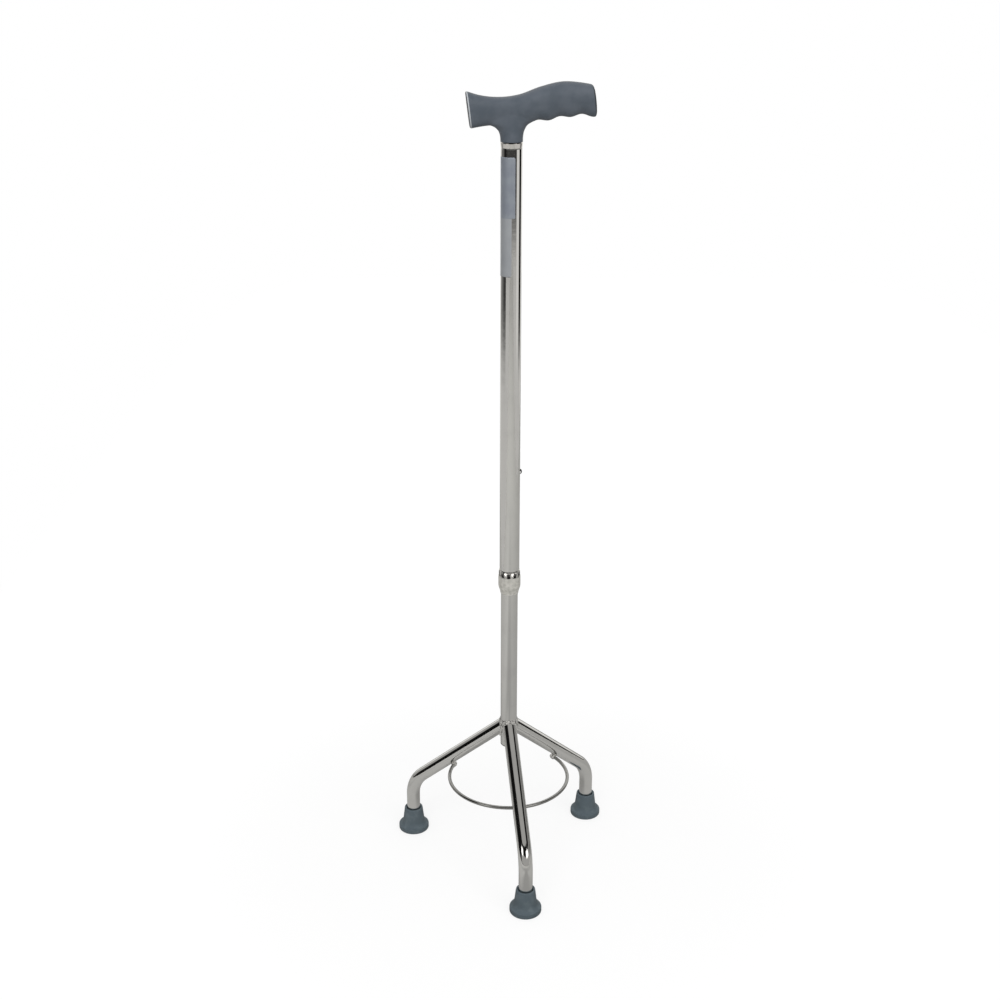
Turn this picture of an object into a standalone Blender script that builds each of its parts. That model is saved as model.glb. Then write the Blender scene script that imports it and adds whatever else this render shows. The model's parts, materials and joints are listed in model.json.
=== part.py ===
"""Height-adjustable tripod cane, built as separate pieces at real size.

The frame is metres with +Z up. The cane stands on z = 0, and the origin is the centre of the
footprint. The handle points along +X, the front leg along -Y. The shaft's axis stands a quarter
of the foot circle's radius behind the origin, because one leg reaches forward and two back.
"""
import math

import bmesh
import bpy
import numpy as np
from mathutils import Matrix, Vector

# Driving dimensions, in metres

MM = 0.001
FIT = 0.3 * MM                      # gap between pieces that touch or slide on each other

# The tripod: three bent tubes welded to the shaft, a bow of wire that braces them, and ferrules
FOOT_CIRCLE_R = 125.0 * MM
LEG_R = 8.0 * MM
LEG_WALL = 1.2 * MM
LEG_SLOPE = math.radians(41.0)
LEG_BEND_R = 40.0 * MM
LEG_APEX_Z = 176.0 * MM             # height at which the legs' centre lines meet the shaft's axis
LEG_AZIMUTHS = {"front": -90.0, "right": 30.0, "left": 150.0}
LEG_WELD = 1.7 * MM
BRACE_R = 70.0 * MM
BRACE_WIRE_R = 2.0 * MM
BRACE_OVERHANG = 5.0 * MM           # wire past the middle of each rear leg
BRACE_WELD_LENGTH = 9.0 * MM
BRACE_WELD_WIDTH = 7.0 * MM
FERRULE_BASE_R = 18.4 * MM
FERRULE_BASE_H = 7.0 * MM
FERRULE_H = 29.6 * MM
FERRULE_FLOOR = 6.0 * MM
FERRULE_WALL = 2.7 * MM             # at the rim
FERRULE_WAIST = 4.6 * MM            # wall just above the pad
TREAD_DEPTH = 1.2 * MM
WASHER_T = 1.2 * MM

# The lower tube, which the legs are welded to, and what it carries inside
LOWER_R = 9.525 * MM
LOWER_WALL = 1.2 * MM
LOWER_BOTTOM_Z = 147.0 * MM
LOWER_TOP_Z = 520.0 * MM
END_PLUG_H = 3.4 * MM
END_PLUG_SPIGOT = 10.0 * MM
BUSH_COLLAR_H = 8.0 * MM
BUSH_SPIGOT = 14.0 * MM
BUSH_BORE_R = 5.0 * MM

# The snap button, its U-shaped spring, and the row of holes it can stand in
BUTTON_Z = 486.8 * MM
BUTTON_R = 2.8 * MM
BUTTON_PROUD = 2.2 * MM
BUTTON_FLANGE_R = 4.0 * MM
BUTTON_FLANGE_T = 0.9 * MM
HOLE_PITCH = 25.4 * MM
HOLES_ABOVE = 4
HOLES_BELOW = 2
SPRING_T = 0.6 * MM
SPRING_WIDTH = 7.0 * MM
SPRING_LENGTH = 48.0 * MM

# The upper tube slides on the lower one
TUBE_CLEARANCE = 0.375 * MM
UPPER_WALL = 1.2 * MM
UPPER_BOTTOM_Z = 370.5 * MM
UPPER_LENGTH = 466.5 * MM

# The lock at the upper tube's foot: a threaded sleeve, a split collet and a nut
COLLAR_H = 6.9 * MM
COLLAR_PROUD = 0.9 * MM
COLLAR_NOTCHES = 10
COLLAR_NOTCH_DEPTH = 0.8 * MM
COLLAR_NOTCH_R = 2.9 * MM
COLLAR_TURN = math.radians(5.0)     # turns the ring of notches about the shaft
THREAD_LENGTH = 11.0 * MM
NUT_WALL = 1.1 * MM
NUT_H = 21.0 * MM
NUT_FLOOR = 3.6 * MM
NUT_TAPER_H = 10.0 * MM
NUT_FOOT = 0.4 * MM                 # metal left round the bore at the nut's lower edge
COLLET_FOOT = 0.7 * MM              # the collet's wall at its tapered lower end
COLLET_CONE_H = 3.0 * MM
COLLET_SLOT = 1.4 * MM

# The handle, its stem in the tube, and the trim ring between them
TRIM_H = 6.1 * MM
TRIM_LIP = 0.5 * MM                 # the ring widens upwards by this much
TRIM_EDGE = 0.4 * MM
NECK_R = 11.5 * MM
STEM_LENGTH = 54.0 * MM
CORE_R = 6.0 * MM
CORE_WALL = 1.6 * MM
CORE_LENGTH = 84.0 * MM
PIN_R = 2.0 * MM
PIN_BELOW_TRIM = 36.0 * MM
GRIP_NOSE = -43.8 * MM              # the short end, past the shaft on the thumb's side
GRIP_TAIL = 84.0 * MM               # the long end, under the palm
GRIP_RAKE = -0.125                  # both end faces lean by this much per unit of height
GRIP_HALF_WIDTH = 13.8 * MM
FINGER_PITCH = 23.0 * MM
FINGER_DEPTH = 1.2 * MM
GRIP_EDGE = 1.8 * MM                # radius that rounds the two end faces
GRIP_MIDDLE_Z = 33.0 * MM           # height above the neck's foot about which the end faces lean

# The handle's curves: (place along the handle, height above the neck's foot), and the grip's half
# width as a share; then the neck's reach to each side of the shaft against height
GRIP_BACK = MM * np.array([(-46, 50.6), (-31, 46.0), (-12, 43.9), (9, 46.0), (32, 53.4), (57, 58.2),
                           (74, 56.9), (88, 54.4)])
GRIP_KEEL = MM * np.array([(-46, 13.2), (-28, 15.9), (-10, 16.5), (20, 19.2), (36, 21.4), (72, 24.9),
                           (88, 23.6)])
GRIP_FULLNESS = np.array([(-46 * MM, 0.84), (-24 * MM, 0.80), (0.0, 0.88), (45 * MM, 1.0),
                          (70 * MM, 0.99), (88 * MM, 0.90)])
FINGER_START = 12.0 * MM
FINGER_FADE = 12.0 * MM
FINGER_RIDGE = 24.5 * MM            # place of the first low ridge between two grooves
NECK_TO_NOSE = MM * np.array([(0, 11.5), (3, 11.6), (7, 12.3), (12, 15.0), (15, 19.2), (17, 24.5),
                              (19, 29.0), (24, 32.0)])
NECK_TO_TAIL = MM * np.array([(0, 11.5), (5, 11.6), (12, 13.4), (17, 17.2), (20, 23.0), (22, 28.0),
                              (24, 30.0)])
NECK_FULLNESS = np.array([(0.0, 1.0), (8 * MM, 1.0), (14 * MM, 1.0), (18 * MM, 0.96), (21 * MM, 0.88),
                          (24 * MM, 0.76)])

# Facets
ROUND = 32                          # sides of a turned piece
LEG_ROUND = 20
FERRULE_ROUND = 22
GRIP_ROUND = 24
BORE_ROUND = 16
NOSE_STATIONS = 9
TAIL_STATIONS = 20
BEND_STEPS = 6
BRACE_STEPS = 40
WELD_STATIONS = 36                  # a multiple of the three legs

# Sizes that follow from the driving ones

SHAFT_Y = FOOT_CIRCLE_R * (1.0 - math.sin(math.radians(30.0))) / 2.0
LOWER_BORE_R = LOWER_R - LOWER_WALL
UPPER_BORE_R = LOWER_R + TUBE_CLEARANCE
UPPER_R = UPPER_BORE_R + UPPER_WALL
UPPER_TOP_Z = UPPER_BOTTOM_Z + UPPER_LENGTH
COLLAR_TOP_Z = UPPER_BOTTOM_Z - FIT
COLLAR_Z = COLLAR_TOP_Z - COLLAR_H
THREAD_BOTTOM_Z = COLLAR_Z - THREAD_LENGTH
NUT_TOP_Z = COLLAR_Z - FIT
NUT_BOTTOM_Z = NUT_TOP_Z - NUT_H
NUT_BORE_R = UPPER_R + FIT
NUT_R = NUT_BORE_R + NUT_WALL
TRIM_Z = UPPER_TOP_Z + FIT
NECK_Z = TRIM_Z + TRIM_H + FIT
STEM_R = UPPER_BORE_R - FIT
STEM_BOTTOM_Z = NECK_Z - STEM_LENGTH
PIN_Z = TRIM_Z - PIN_BELOW_TRIM
BUTTON_TIP_X = UPPER_R + BUTTON_PROUD
LEG_FOOT_Z = FERRULE_FLOOR + WASHER_T + 2.0 * FIT
BUTTON_HOLE_R = BUTTON_R + FIT + 0.05 * MM
HALF_FACET = math.pi / BORE_ROUND

for leftover in list(bpy.data.objects):
    bpy.data.objects.remove(leftover, do_unlink=True)


# Materials

def material(name, colour, roughness, metallic=0.0):
    """A Principled material of one colour, roughness and metallic value."""
    finish = bpy.data.materials.new(name)
    finish.use_nodes = True
    shader = finish.node_tree.nodes["Principled BSDF"]
    shader.inputs["Base Color"].default_value = (*colour, 1.0)
    shader.inputs["Roughness"].default_value = roughness
    shader.inputs["Metallic"].default_value = metallic
    finish.diffuse_color = (*colour, 1.0)
    return finish


CHROME = material("chrome", (0.78, 0.77, 0.76), 0.08, 1.0)
SATIN_STEEL = material("satin_steel", (0.62, 0.61, 0.60), 0.32, 1.0)
WELD_CHROME = material("weld_chrome", (0.70, 0.69, 0.68), 0.22, 1.0)
SPRING_STEEL = material("spring_steel", (0.45, 0.45, 0.46), 0.30, 1.0)
GRIP_PLASTIC = material("grip_plastic", (0.088, 0.107, 0.130), 0.42)
FERRULE_RUBBER = material("ferrule_rubber", (0.092, 0.115, 0.128), 0.62)
NYLON = material("nylon", (0.72, 0.71, 0.67), 0.48)


# Modelling helpers

def empty(name, place, parent=None):
    """An empty that marks an axis; pieces hang from it by parenting."""
    axis = bpy.data.objects.new(name, None)
    axis.location = place
    axis.empty_display_size = 0.03
    axis.parent = parent
    bpy.context.collection.objects.link(axis)
    return axis


def finished(name, bm, finish, parent=None, sharp=35.0):
    """Close a bmesh into an object: outward faces, smooth shading with sharp edges kept."""
    bmesh.ops.recalc_face_normals(bm, faces=bm.faces)
    mesh = bpy.data.meshes.new(name)
    bm.to_mesh(mesh)
    bm.free()
    mesh.shade_smooth()
    mesh.set_sharp_from_angle(angle=math.radians(sharp))
    piece = bpy.data.objects.new(name, mesh)
    if finish is not None:
        mesh.materials.append(finish)
    piece.parent = parent
    bpy.context.collection.objects.link(piece)
    return piece


def as_cutter(piece):
    """Keep a shape out of the model: it only cuts or guides another."""
    piece.hide_render = True
    piece.display_type = "WIRE"
    return piece


def boolean(piece, other, operation="DIFFERENCE"):
    """Combine a piece with a hidden shape."""
    step = piece.modifiers.new(operation.title(), "BOOLEAN")
    step.operation = operation
    step.solver = "EXACT"
    step.object = as_cutter(other)
    return piece


def turned(name, profile, finish, parent=None, sides=ROUND, closed=True, sharp=35.0):
    """Turn a profile of (radius, height) points about Z; a closed one makes a ring."""
    bm = bmesh.new()
    points = [bm.verts.new((radius, 0.0, height)) for radius, height in profile]
    pairs = list(zip(points, points[1:]))
    if closed:
        pairs.append((points[-1], points[0]))
    edges = [bm.edges.new(pair) for pair in pairs]
    bmesh.ops.spin(bm, geom=points + edges, axis=(0, 0, 1), cent=(0, 0, 0),
                   steps=sides, angle=2.0 * math.pi, use_merge=True)
    bmesh.ops.remove_doubles(bm, verts=bm.verts, dist=1e-7)
    return finished(name, bm, finish, parent, sharp)


def arc(centre, radius, start, end, steps):
    """Points (radius, height) along an arc about centre, angles in degrees."""
    angles = np.radians(np.linspace(start, end, steps + 1))
    return [(centre[0] + radius * math.cos(a), centre[1] + radius * math.sin(a)) for a in angles]


def add_bar(bm, radius, start, end, sides, roll=0.0):
    """Add a closed round bar between two points; roll turns its facets about its own axis."""
    start, end = Vector(start), Vector(end)
    run = end - start
    place = (Matrix.Translation((start + end) / 2.0) @ run.to_track_quat("Z", "Y").to_matrix().to_4x4()
             @ Matrix.Rotation(roll, 4, "Z"))
    bmesh.ops.create_cone(bm, cap_ends=True, segments=sides, radius1=radius, radius2=radius,
                          depth=run.length, matrix=place)


def cylinder(name, radius, start, end, finish=None, parent=None, sides=LEG_ROUND):
    """A closed round bar between two points, as a piece of its own."""
    bm = bmesh.new()
    add_bar(bm, radius, start, end, sides)
    return finished(name, bm, finish, parent)


def bridged(name, rings, finish, parent=None, capped=True, sharp=35.0):
    """Skin a list of equal rings of points; wrap round to the first ring when not capped."""
    bm = bmesh.new()
    loops = [[bm.verts.new(point) for point in ring] for ring in rings]
    pairs = list(zip(loops, loops[1:]))
    if capped:
        bm.faces.new(loops[0])
        bm.faces.new(loops[-1])
    else:
        pairs.append((loops[-1], loops[0]))
    for near, far in pairs:
        for i, corner in enumerate(near):
            bm.faces.new((corner, near[i - 1], far[i - 1], far[i]))
    return finished(name, bm, finish, parent, sharp)


def flat_tube(name, path, outer, inner, sides, finish, parent=None):
    """A hollow tube along a path that lies in the XZ plane, open at both ends."""
    path = np.asarray(path)
    runs = np.gradient(path, axis=0)
    runs /= np.linalg.norm(runs, axis=1)[:, None]
    turn = np.linspace(0.0, 2.0 * math.pi, sides, endpoint=False)

    def ring(i, radius):
        across = np.array([-runs[i][1], runs[i][0]])
        x = path[i][0] + radius * np.cos(turn) * across[0]
        z = path[i][1] + radius * np.cos(turn) * across[1]
        return list(zip(x, radius * np.sin(turn), z))

    order = range(len(path))
    outside = [ring(i, outer) for i in order]
    inside = [ring(i, inner) for i in reversed(order)]
    return bridged(name, outside + inside, finish, parent, capped=False)


def ribbon(name, path, thickness, width, finish, parent=None):
    """A strip of sheet metal bent along a path in the XZ plane."""
    path = np.asarray(path)
    runs = np.gradient(path, axis=0)
    runs /= np.linalg.norm(runs, axis=1)[:, None]
    across = np.stack([-runs[:, 1], runs[:, 0]], axis=1) * thickness / 2.0
    rings = []
    for point, side in zip(path, across):
        (x0, z0), (x1, z1) = point + side, point - side
        rings.append([(x0, -width / 2, z0), (x0, width / 2, z0), (x1, width / 2, z1), (x1, -width / 2, z1)])
    return bridged(name, rings, finish, parent)


def smooth_curve(points, x):
    """A smooth curve through (x, value) points, with the slopes of their neighbours."""
    at, value = np.array(points).T
    slope = np.gradient(value, at)
    i = np.clip(np.searchsorted(at, x) - 1, 0, len(at) - 2)
    span = at[i + 1] - at[i]
    t = np.clip((x - at[i]) / span, 0.0, 1.0)
    return ((1 + 2 * t) * (1 - t) ** 2 * value[i] + t * (1 - t) ** 2 * span * slope[i]
            + t * t * (3 - 2 * t) * value[i + 1] + t * t * (t - 1) * span * slope[i + 1])


# Axes that the pieces hang from

SHAFT = empty("shaft_axis", (0.0, SHAFT_Y, 0.0))
HEIGHT_SLIDE = empty("height_slide", (0.0, 0.0, 0.0), SHAFT)
LOCK_AXIS = empty("lock_axis", (0.0, 0.0, 0.0), HEIGHT_SLIDE)
BUTTON_AXIS = empty("button_axis", (0.0, 0.0, BUTTON_Z), SHAFT)


# The tripod

def leg_path():
    """Centre line of a leg in the plane of its radius: a slope, a bend and a straight foot."""
    fall = math.tan(LEG_SLOPE)
    corner_z = LEG_APEX_Z - FOOT_CIRCLE_R * fall
    turn = math.pi / 2.0 - LEG_SLOPE
    reach = LEG_BEND_R * math.tan(turn / 2.0)
    centre = (FOOT_CIRCLE_R - LEG_BEND_R, corner_z - reach)
    bend = arc(centre, LEG_BEND_R, 90.0 - math.degrees(LEG_SLOPE), 0.0, BEND_STEPS)
    start_x = LOWER_R / 3.0
    return [(start_x, LEG_APEX_Z - start_x * fall)] + bend + [(FOOT_CIRCLE_R, LEG_FOOT_Z)]


def leg(side, spoke):
    """One leg: coped to the lower tube at its top, mitred where its neighbours meet it."""
    piece = flat_tube(f"leg_{side}", leg_path(), LEG_R, LEG_R - LEG_WALL, LEG_ROUND, CHROME, spoke)
    reach = 2.0 * FOOT_CIRCLE_R
    apex = FIT / 2.0 / math.sin(math.radians(60.0))
    wedge = [(apex, 0.0), (apex + reach / 2.0, -reach * math.sin(math.radians(60.0))),
             (apex + reach / 2.0, reach * math.sin(math.radians(60.0)))]
    sector = bridged(f"{side}_sector", [[(x, y, z) for x, y in wedge] for z in (-MM, LEG_APEX_Z * 2)],
                     None, spoke)
    boolean(piece, sector, "INTERSECT")
    cope = cylinder(f"{side}_cope", LOWER_R + FIT, (0, 0, LEG_APEX_Z / 2), (0, 0, LEG_APEX_Z * 1.5),
                    parent=spoke, sides=ROUND)
    return boolean(piece, cope)


def ferrule_profile():
    """Section of a rubber ferrule: a grooved pad, a concave shoulder and a tapering socket."""
    bore = LEG_R + FIT
    rim = bore + FERRULE_WALL
    waist = bore + FERRULE_WAIST
    edge = 1.2 * MM
    shoulder = FERRULE_BASE_H + 0.30 * (FERRULE_H - FERRULE_BASE_H)
    groove_in, groove_out = 0.55 * FERRULE_BASE_R, 0.72 * FERRULE_BASE_R
    pad = [(groove_in, 0.0), (groove_in, TREAD_DEPTH), (groove_out, TREAD_DEPTH), (groove_out, 0.0),
           (FERRULE_BASE_R - edge, 0.0), (FERRULE_BASE_R, edge), (FERRULE_BASE_R, FERRULE_BASE_H - edge),
           (FERRULE_BASE_R - 0.7 * edge, FERRULE_BASE_H)]
    flare = [(waist + 0.30 * (FERRULE_BASE_R - waist), FERRULE_BASE_H + 0.5 * (shoulder - FERRULE_BASE_H)),
             (waist, shoulder)]
    top = [(rim, FERRULE_H - 0.8 * MM), (rim - 0.6 * MM, FERRULE_H)]
    socket = [(bore + 0.5 * MM, FERRULE_H), (bore, FERRULE_H - 0.6 * MM), (bore, FERRULE_FLOOR),
              (0.0, FERRULE_FLOOR)]
    return [(0.0, 0.0)] + pad + flare + top + socket


def brace_height():
    """Height of the brace's wire, which lies against the underside of the sloping legs."""
    drop = (LEG_R + BRACE_WIRE_R + FIT) / math.cos(LEG_SLOPE)
    return LEG_APEX_Z - BRACE_R * math.tan(LEG_SLOPE) - drop


def brace_wire(name, wire, finish):
    """A bow of round wire that runs from one rear leg, under the front leg, to the other."""
    past = math.degrees(BRACE_OVERHANG / BRACE_R)
    start, end = LEG_AZIMUTHS["left"] - past, LEG_AZIMUTHS["right"] + 360.0 + past
    height = brace_height()
    rings = []
    for azimuth in np.radians(np.linspace(start, end, BRACE_STEPS + 1)):
        radii = BRACE_R + wire * np.cos(np.radians(np.arange(8) * 45.0))
        heights = height + wire * np.sin(np.radians(np.arange(8) * 45.0))
        rings.append([(r * math.cos(azimuth), r * math.sin(azimuth), z) for r, z in zip(radii, heights)])
    return bridged(name, rings, finish, SHAFT, sharp=60.0)


def leg_welds(spokes):
    """The chromed weld in the corner between the leg tops and the lower tube.

    Its edges follow the curves in which a slightly fatter leg would meet the tube.
    """
    root = LOWER_R + FIT
    first = min(LEG_AZIMUTHS.values())
    thinnest = 1.5 * MM

    def edge(radius, off, fatter, sign):
        half = math.sqrt(max((LEG_R + fatter) ** 2 - (radius * math.sin(off)) ** 2, thinnest ** 2))
        centre = LEG_APEX_Z - radius * math.cos(off) * math.tan(LEG_SLOPE)
        return centre + sign * half / math.cos(LEG_SLOPE)

    rings = []
    for azimuth in np.linspace(0.0, 360.0, WELD_STATIONS, endpoint=False):
        off = math.radians((azimuth - first + 60.0) % 120.0 - 60.0)
        a = math.radians(azimuth)
        steps = [(root, LEG_WELD), (root + 0.6 * LEG_WELD, 0.75 * LEG_WELD), (root + LEG_WELD, 0.2 * LEG_WELD)]
        section = [(radius, edge(radius, off, fatter, 1.0)) for radius, fatter in steps]
        section += [(radius, edge(radius, off, fatter, -1.0)) for radius, fatter in reversed(steps)]
        rings.append([(radius * math.cos(a), radius * math.sin(a), z) for radius, z in section])
    weld = bridged("leg_welds", rings, WELD_CHROME, SHAFT, capped=False)
    for name, spoke in spokes.items():
        ends = [(x, 0, LEG_APEX_Z - x * math.tan(LEG_SLOPE)) for x in (LOWER_R / 3.0, 2.0 * LOWER_R)]
        boolean(weld, cylinder(f"{name}_weld_bore", LEG_R + FIT, *ends, parent=spoke))
    return weld


def brace_weld(side, spoke):
    """The lump of weld that wraps the brace's wire and meets the underside of one leg."""
    bm = bmesh.new()
    place = (Matrix.Translation((BRACE_R, 0, brace_height())) @ Matrix.Rotation(LEG_SLOPE, 4, "Y")
             @ Matrix.Diagonal((BRACE_WELD_WIDTH, BRACE_WELD_LENGTH, BRACE_WELD_WIDTH, 1.0)))
    bmesh.ops.create_uvsphere(bm, u_segments=12, v_segments=8, radius=0.5, matrix=place)
    lump = finished(f"brace_weld_{side}", bm, WELD_CHROME, spoke)
    ends = [(x, 0, LEG_APEX_Z - x * math.tan(LEG_SLOPE)) for x in (0.7 * BRACE_R, 1.3 * BRACE_R)]
    boolean(lump, cylinder(f"brace_weld_leg_{side}", LEG_R + FIT, *ends, parent=spoke))
    return boolean(lump, brace_wire(f"brace_weld_wire_{side}", BRACE_WIRE_R + FIT, None))


def tripod():
    """Legs, ferrules, washers, brace wire and the welds that hold them together."""
    washer = [(0.0, 0.0), (LEG_R, 0.0), (LEG_R, WASHER_T), (0.0, WASHER_T)]
    spokes = {}
    for side, azimuth in LEG_AZIMUTHS.items():
        spokes[side] = spoke = empty(f"{side}_spoke", (0.0, 0.0, 0.0), SHAFT)
        spoke.rotation_euler.z = math.radians(azimuth)
        leg(side, spoke)
        ferrule = turned(f"ferrule_{side}", ferrule_profile(), FERRULE_RUBBER, spoke,
                         sides=FERRULE_ROUND, closed=False)
        ferrule.location.x = FOOT_CIRCLE_R
        disc = turned(f"washer_{side}", washer, SPRING_STEEL, spoke, sides=24, closed=False)
        disc.location = (FOOT_CIRCLE_R, 0.0, FERRULE_FLOOR + FIT)
        brace_weld(side, spoke)
    brace_wire("brace_wire", BRACE_WIRE_R, CHROME)
    leg_welds(spokes)


# The lower tube and what is inside it

def button_bores(name, heights, parent):
    """Bars along +X that cut the button's holes; no corner of theirs lies on an edge of the tube."""
    bm = bmesh.new()
    for height in heights:
        add_bar(bm, BUTTON_HOLE_R, (0, 0, height), (2 * UPPER_R, 0, height), BORE_ROUND, HALF_FACET)
    return finished(name, bm, None, parent)


def lower_tube():
    """The lower tube, with the hole that the button stands through."""
    section = [(LOWER_R, LOWER_TOP_Z), (LOWER_R, LOWER_BOTTOM_Z), (LOWER_BORE_R, LOWER_BOTTOM_Z),
               (LOWER_BORE_R, LOWER_TOP_Z)]
    tube = turned("lower_tube", section, CHROME, SHAFT)
    boolean(tube, button_bores("lower_hole", [BUTTON_Z], SHAFT))

    z = LOWER_BOTTOM_Z - FIT
    spigot = LOWER_BORE_R - FIT
    dome = [(LOWER_R, z), (LOWER_R, z - 0.3 * END_PLUG_H), (0.88 * LOWER_R, z - 0.8 * END_PLUG_H),
            (0.62 * LOWER_R, z - END_PLUG_H), (0.0, z - END_PLUG_H)]
    stem = [(0.0, z + END_PLUG_SPIGOT), (spigot - 0.8 * MM, z + END_PLUG_SPIGOT),
            (spigot, z + END_PLUG_SPIGOT - 0.8 * MM), (spigot, z)]
    turned("tube_end_plug", stem + dome, CHROME, SHAFT, closed=False)

    z = LOWER_TOP_Z + FIT
    collar = UPPER_BORE_R - FIT
    bush = [(BUSH_BORE_R, z + BUSH_COLLAR_H), (collar - 0.8 * MM, z + BUSH_COLLAR_H),
            (collar, z + BUSH_COLLAR_H - 0.8 * MM), (collar, z), (spigot, z),
            (spigot, z - BUSH_SPIGOT), (BUSH_BORE_R, z - BUSH_SPIGOT)]
    turned("guide_bush", bush, NYLON, SHAFT)


def snap_button():
    """The domed button, flanged inside the tube, and the U spring that pushes it out."""
    seat = math.sqrt(LOWER_BORE_R ** 2 - BUTTON_FLANGE_R ** 2) - FIT
    back = seat - BUTTON_FLANGE_T
    dome_start = BUTTON_TIP_X - BUTTON_R * 0.72
    dome = [(BUTTON_R * math.cos(a), dome_start + (BUTTON_TIP_X - dome_start) * math.sin(a))
            for a in np.radians(np.linspace(0.0, 75.0, 6))]
    profile = [(0.0, back), (BUTTON_FLANGE_R, back), (BUTTON_FLANGE_R, seat), (BUTTON_R, seat)] + dome
    profile.append((0.0, BUTTON_TIP_X))
    button = turned("snap_button", profile, CHROME, BUTTON_AXIS, sides=20, closed=False)
    button.rotation_euler.y = math.pi / 2.0

    near = back - FIT - SPRING_T / 2.0
    far = -(math.sqrt(LOWER_BORE_R ** 2 - (SPRING_WIDTH / 2.0) ** 2) - FIT - SPRING_T / 2.0)
    middle, radius = (near + far) / 2.0, (near - far) / 2.0
    bend_z = radius - SPRING_LENGTH
    bend = arc((middle, bend_z), radius, 0.0, -180.0, 12)
    arm_top = BUTTON_FLANGE_R + 2.0 * MM
    path = [(near, arm_top), (near, (arm_top + bend_z) / 2.0)] + bend + [(far, bend_z / 2.0), (far, arm_top)]
    ribbon("button_spring", path, SPRING_T, SPRING_WIDTH, SPRING_STEEL, BUTTON_AXIS)


# The upper tube and its lock

def upper_tube():
    """The upper tube with its row of holes and the cross hole for the handle's pin."""
    section = [(UPPER_R, UPPER_TOP_Z), (UPPER_R, UPPER_BOTTOM_Z), (UPPER_BORE_R, UPPER_BOTTOM_Z),
               (UPPER_BORE_R, UPPER_TOP_Z)]
    tube = turned("upper_tube", section, CHROME, HEIGHT_SLIDE)
    stops = [BUTTON_Z + step * HOLE_PITCH for step in range(-HOLES_BELOW, HOLES_ABOVE + 1)]
    boolean(tube, button_bores("upper_holes", stops, HEIGHT_SLIDE))
    return boolean(tube, pin_bore("tube_pin_bore"))


def pin_bore(name):
    """The cross hole that the handle's pin goes through."""
    reach = 2.0 * UPPER_R
    bm = bmesh.new()
    add_bar(bm, PIN_R + FIT, (0, -reach, PIN_Z), (0, reach, PIN_Z), BORE_ROUND, HALF_FACET)
    return finished(name, bm, None, HEIGHT_SLIDE)


def end_sleeve():
    """The sleeve brazed to the tube's foot: a notched collar above a plain threaded length.

    The notches run out through the collar's lower edge and stop short of its upper one.
    """
    outer = UPPER_R + COLLAR_PROUD
    round_off = 0.35 * COLLAR_PROUD
    bore = LOWER_R + FIT
    profile = [(outer - COLLAR_PROUD, COLLAR_TOP_Z), (outer - round_off, COLLAR_TOP_Z - round_off),
               (outer, COLLAR_TOP_Z - 2 * round_off), (outer, COLLAR_Z + round_off),
               (outer - round_off, COLLAR_Z), (UPPER_R, COLLAR_Z), (UPPER_R, THREAD_BOTTOM_Z),
               (bore, THREAD_BOTTOM_Z), (bore, COLLAR_TOP_Z)]
    sleeve = turned("end_sleeve", profile, CHROME, HEIGHT_SLIDE)
    bm = bmesh.new()
    reach = outer + COLLAR_NOTCH_R - COLLAR_NOTCH_DEPTH
    low, high = COLLAR_Z - FIT / 2.0, COLLAR_TOP_Z - 3.0 * round_off
    for i in range(COLLAR_NOTCHES):
        a = 2.0 * math.pi * i / COLLAR_NOTCHES + COLLAR_TURN
        x, y = reach * math.cos(a), reach * math.sin(a)
        add_bar(bm, COLLAR_NOTCH_R, (x, y, low), (x, y, high), BORE_ROUND, a + HALF_FACET)
    return boolean(sleeve, finished("collar_notches", bm, None, HEIGHT_SLIDE))


def lock_nut():
    """The nut: a thin wall over the thread, rounded in to the tube, with a cone for the collet."""
    lip = LOWER_R + FIT
    floor = NUT_BOTTOM_Z + NUT_FLOOR
    chamfer = 0.4 * MM
    foot = lip + NUT_FOOT
    rounding = [(foot + (NUT_R - foot) * t * t * (3.0 - 2.0 * t), NUT_BOTTOM_Z + NUT_TAPER_H * t)
                for t in np.linspace(1.0, 0.0, 7)]
    cone = [(lip, floor), (lip + COLLET_FOOT + FIT, floor), (NUT_BORE_R, floor + COLLET_CONE_H)]
    profile = ([(NUT_R - chamfer, NUT_TOP_Z), (NUT_R, NUT_TOP_Z - chamfer)] + rounding
               + [(lip, NUT_BOTTOM_Z)] + cone + [(NUT_BORE_R, NUT_TOP_Z)])
    return turned("lock_nut", profile, SATIN_STEEL, LOCK_AXIS)


def collet():
    """The split nylon collet between the sleeve's foot and the nut's cone."""
    bore = LOWER_R + FIT
    top = THREAD_BOTTOM_Z - FIT
    bottom = NUT_BOTTOM_Z + NUT_FLOOR + FIT
    profile = [(UPPER_R, top), (UPPER_R, bottom + COLLET_CONE_H), (bore + COLLET_FOOT, bottom),
               (bore, bottom), (bore, top)]
    ring = turned("collet", profile, NYLON, LOCK_AXIS, sides=36)
    slot = Matrix.Diagonal((2 * UPPER_R, COLLET_SLOT, 2 * (top - bottom), 1))
    bm = bmesh.new()
    bmesh.ops.create_cube(bm, size=1.0, matrix=Matrix.Translation((-UPPER_R, 0, (top + bottom) / 2)) @ slot)
    return boolean(ring, finished("collet_slot", bm, None, LOCK_AXIS))


# The handle

def grip_top(s):
    """Height of the grip's back above the neck: low behind the neck, high under the palm."""
    return smooth_curve(GRIP_BACK, s)


def grip_bottom(s):
    """Height of the grip's underside, with a shallow groove for each finger."""
    fingers = np.clip((s - FINGER_START) / FINGER_FADE, 0.0, 1.0)
    wave = FINGER_DEPTH * np.cos(2.0 * math.pi * (s - FINGER_RIDGE) / FINGER_PITCH)
    return smooth_curve(GRIP_KEEL, s) + fingers * wave


def grip_half_width(s):
    """Half the grip's thickness: full under the palm, slimmer at both ends."""
    return GRIP_HALF_WIDTH * smooth_curve(GRIP_FULLNESS, s)


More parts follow.
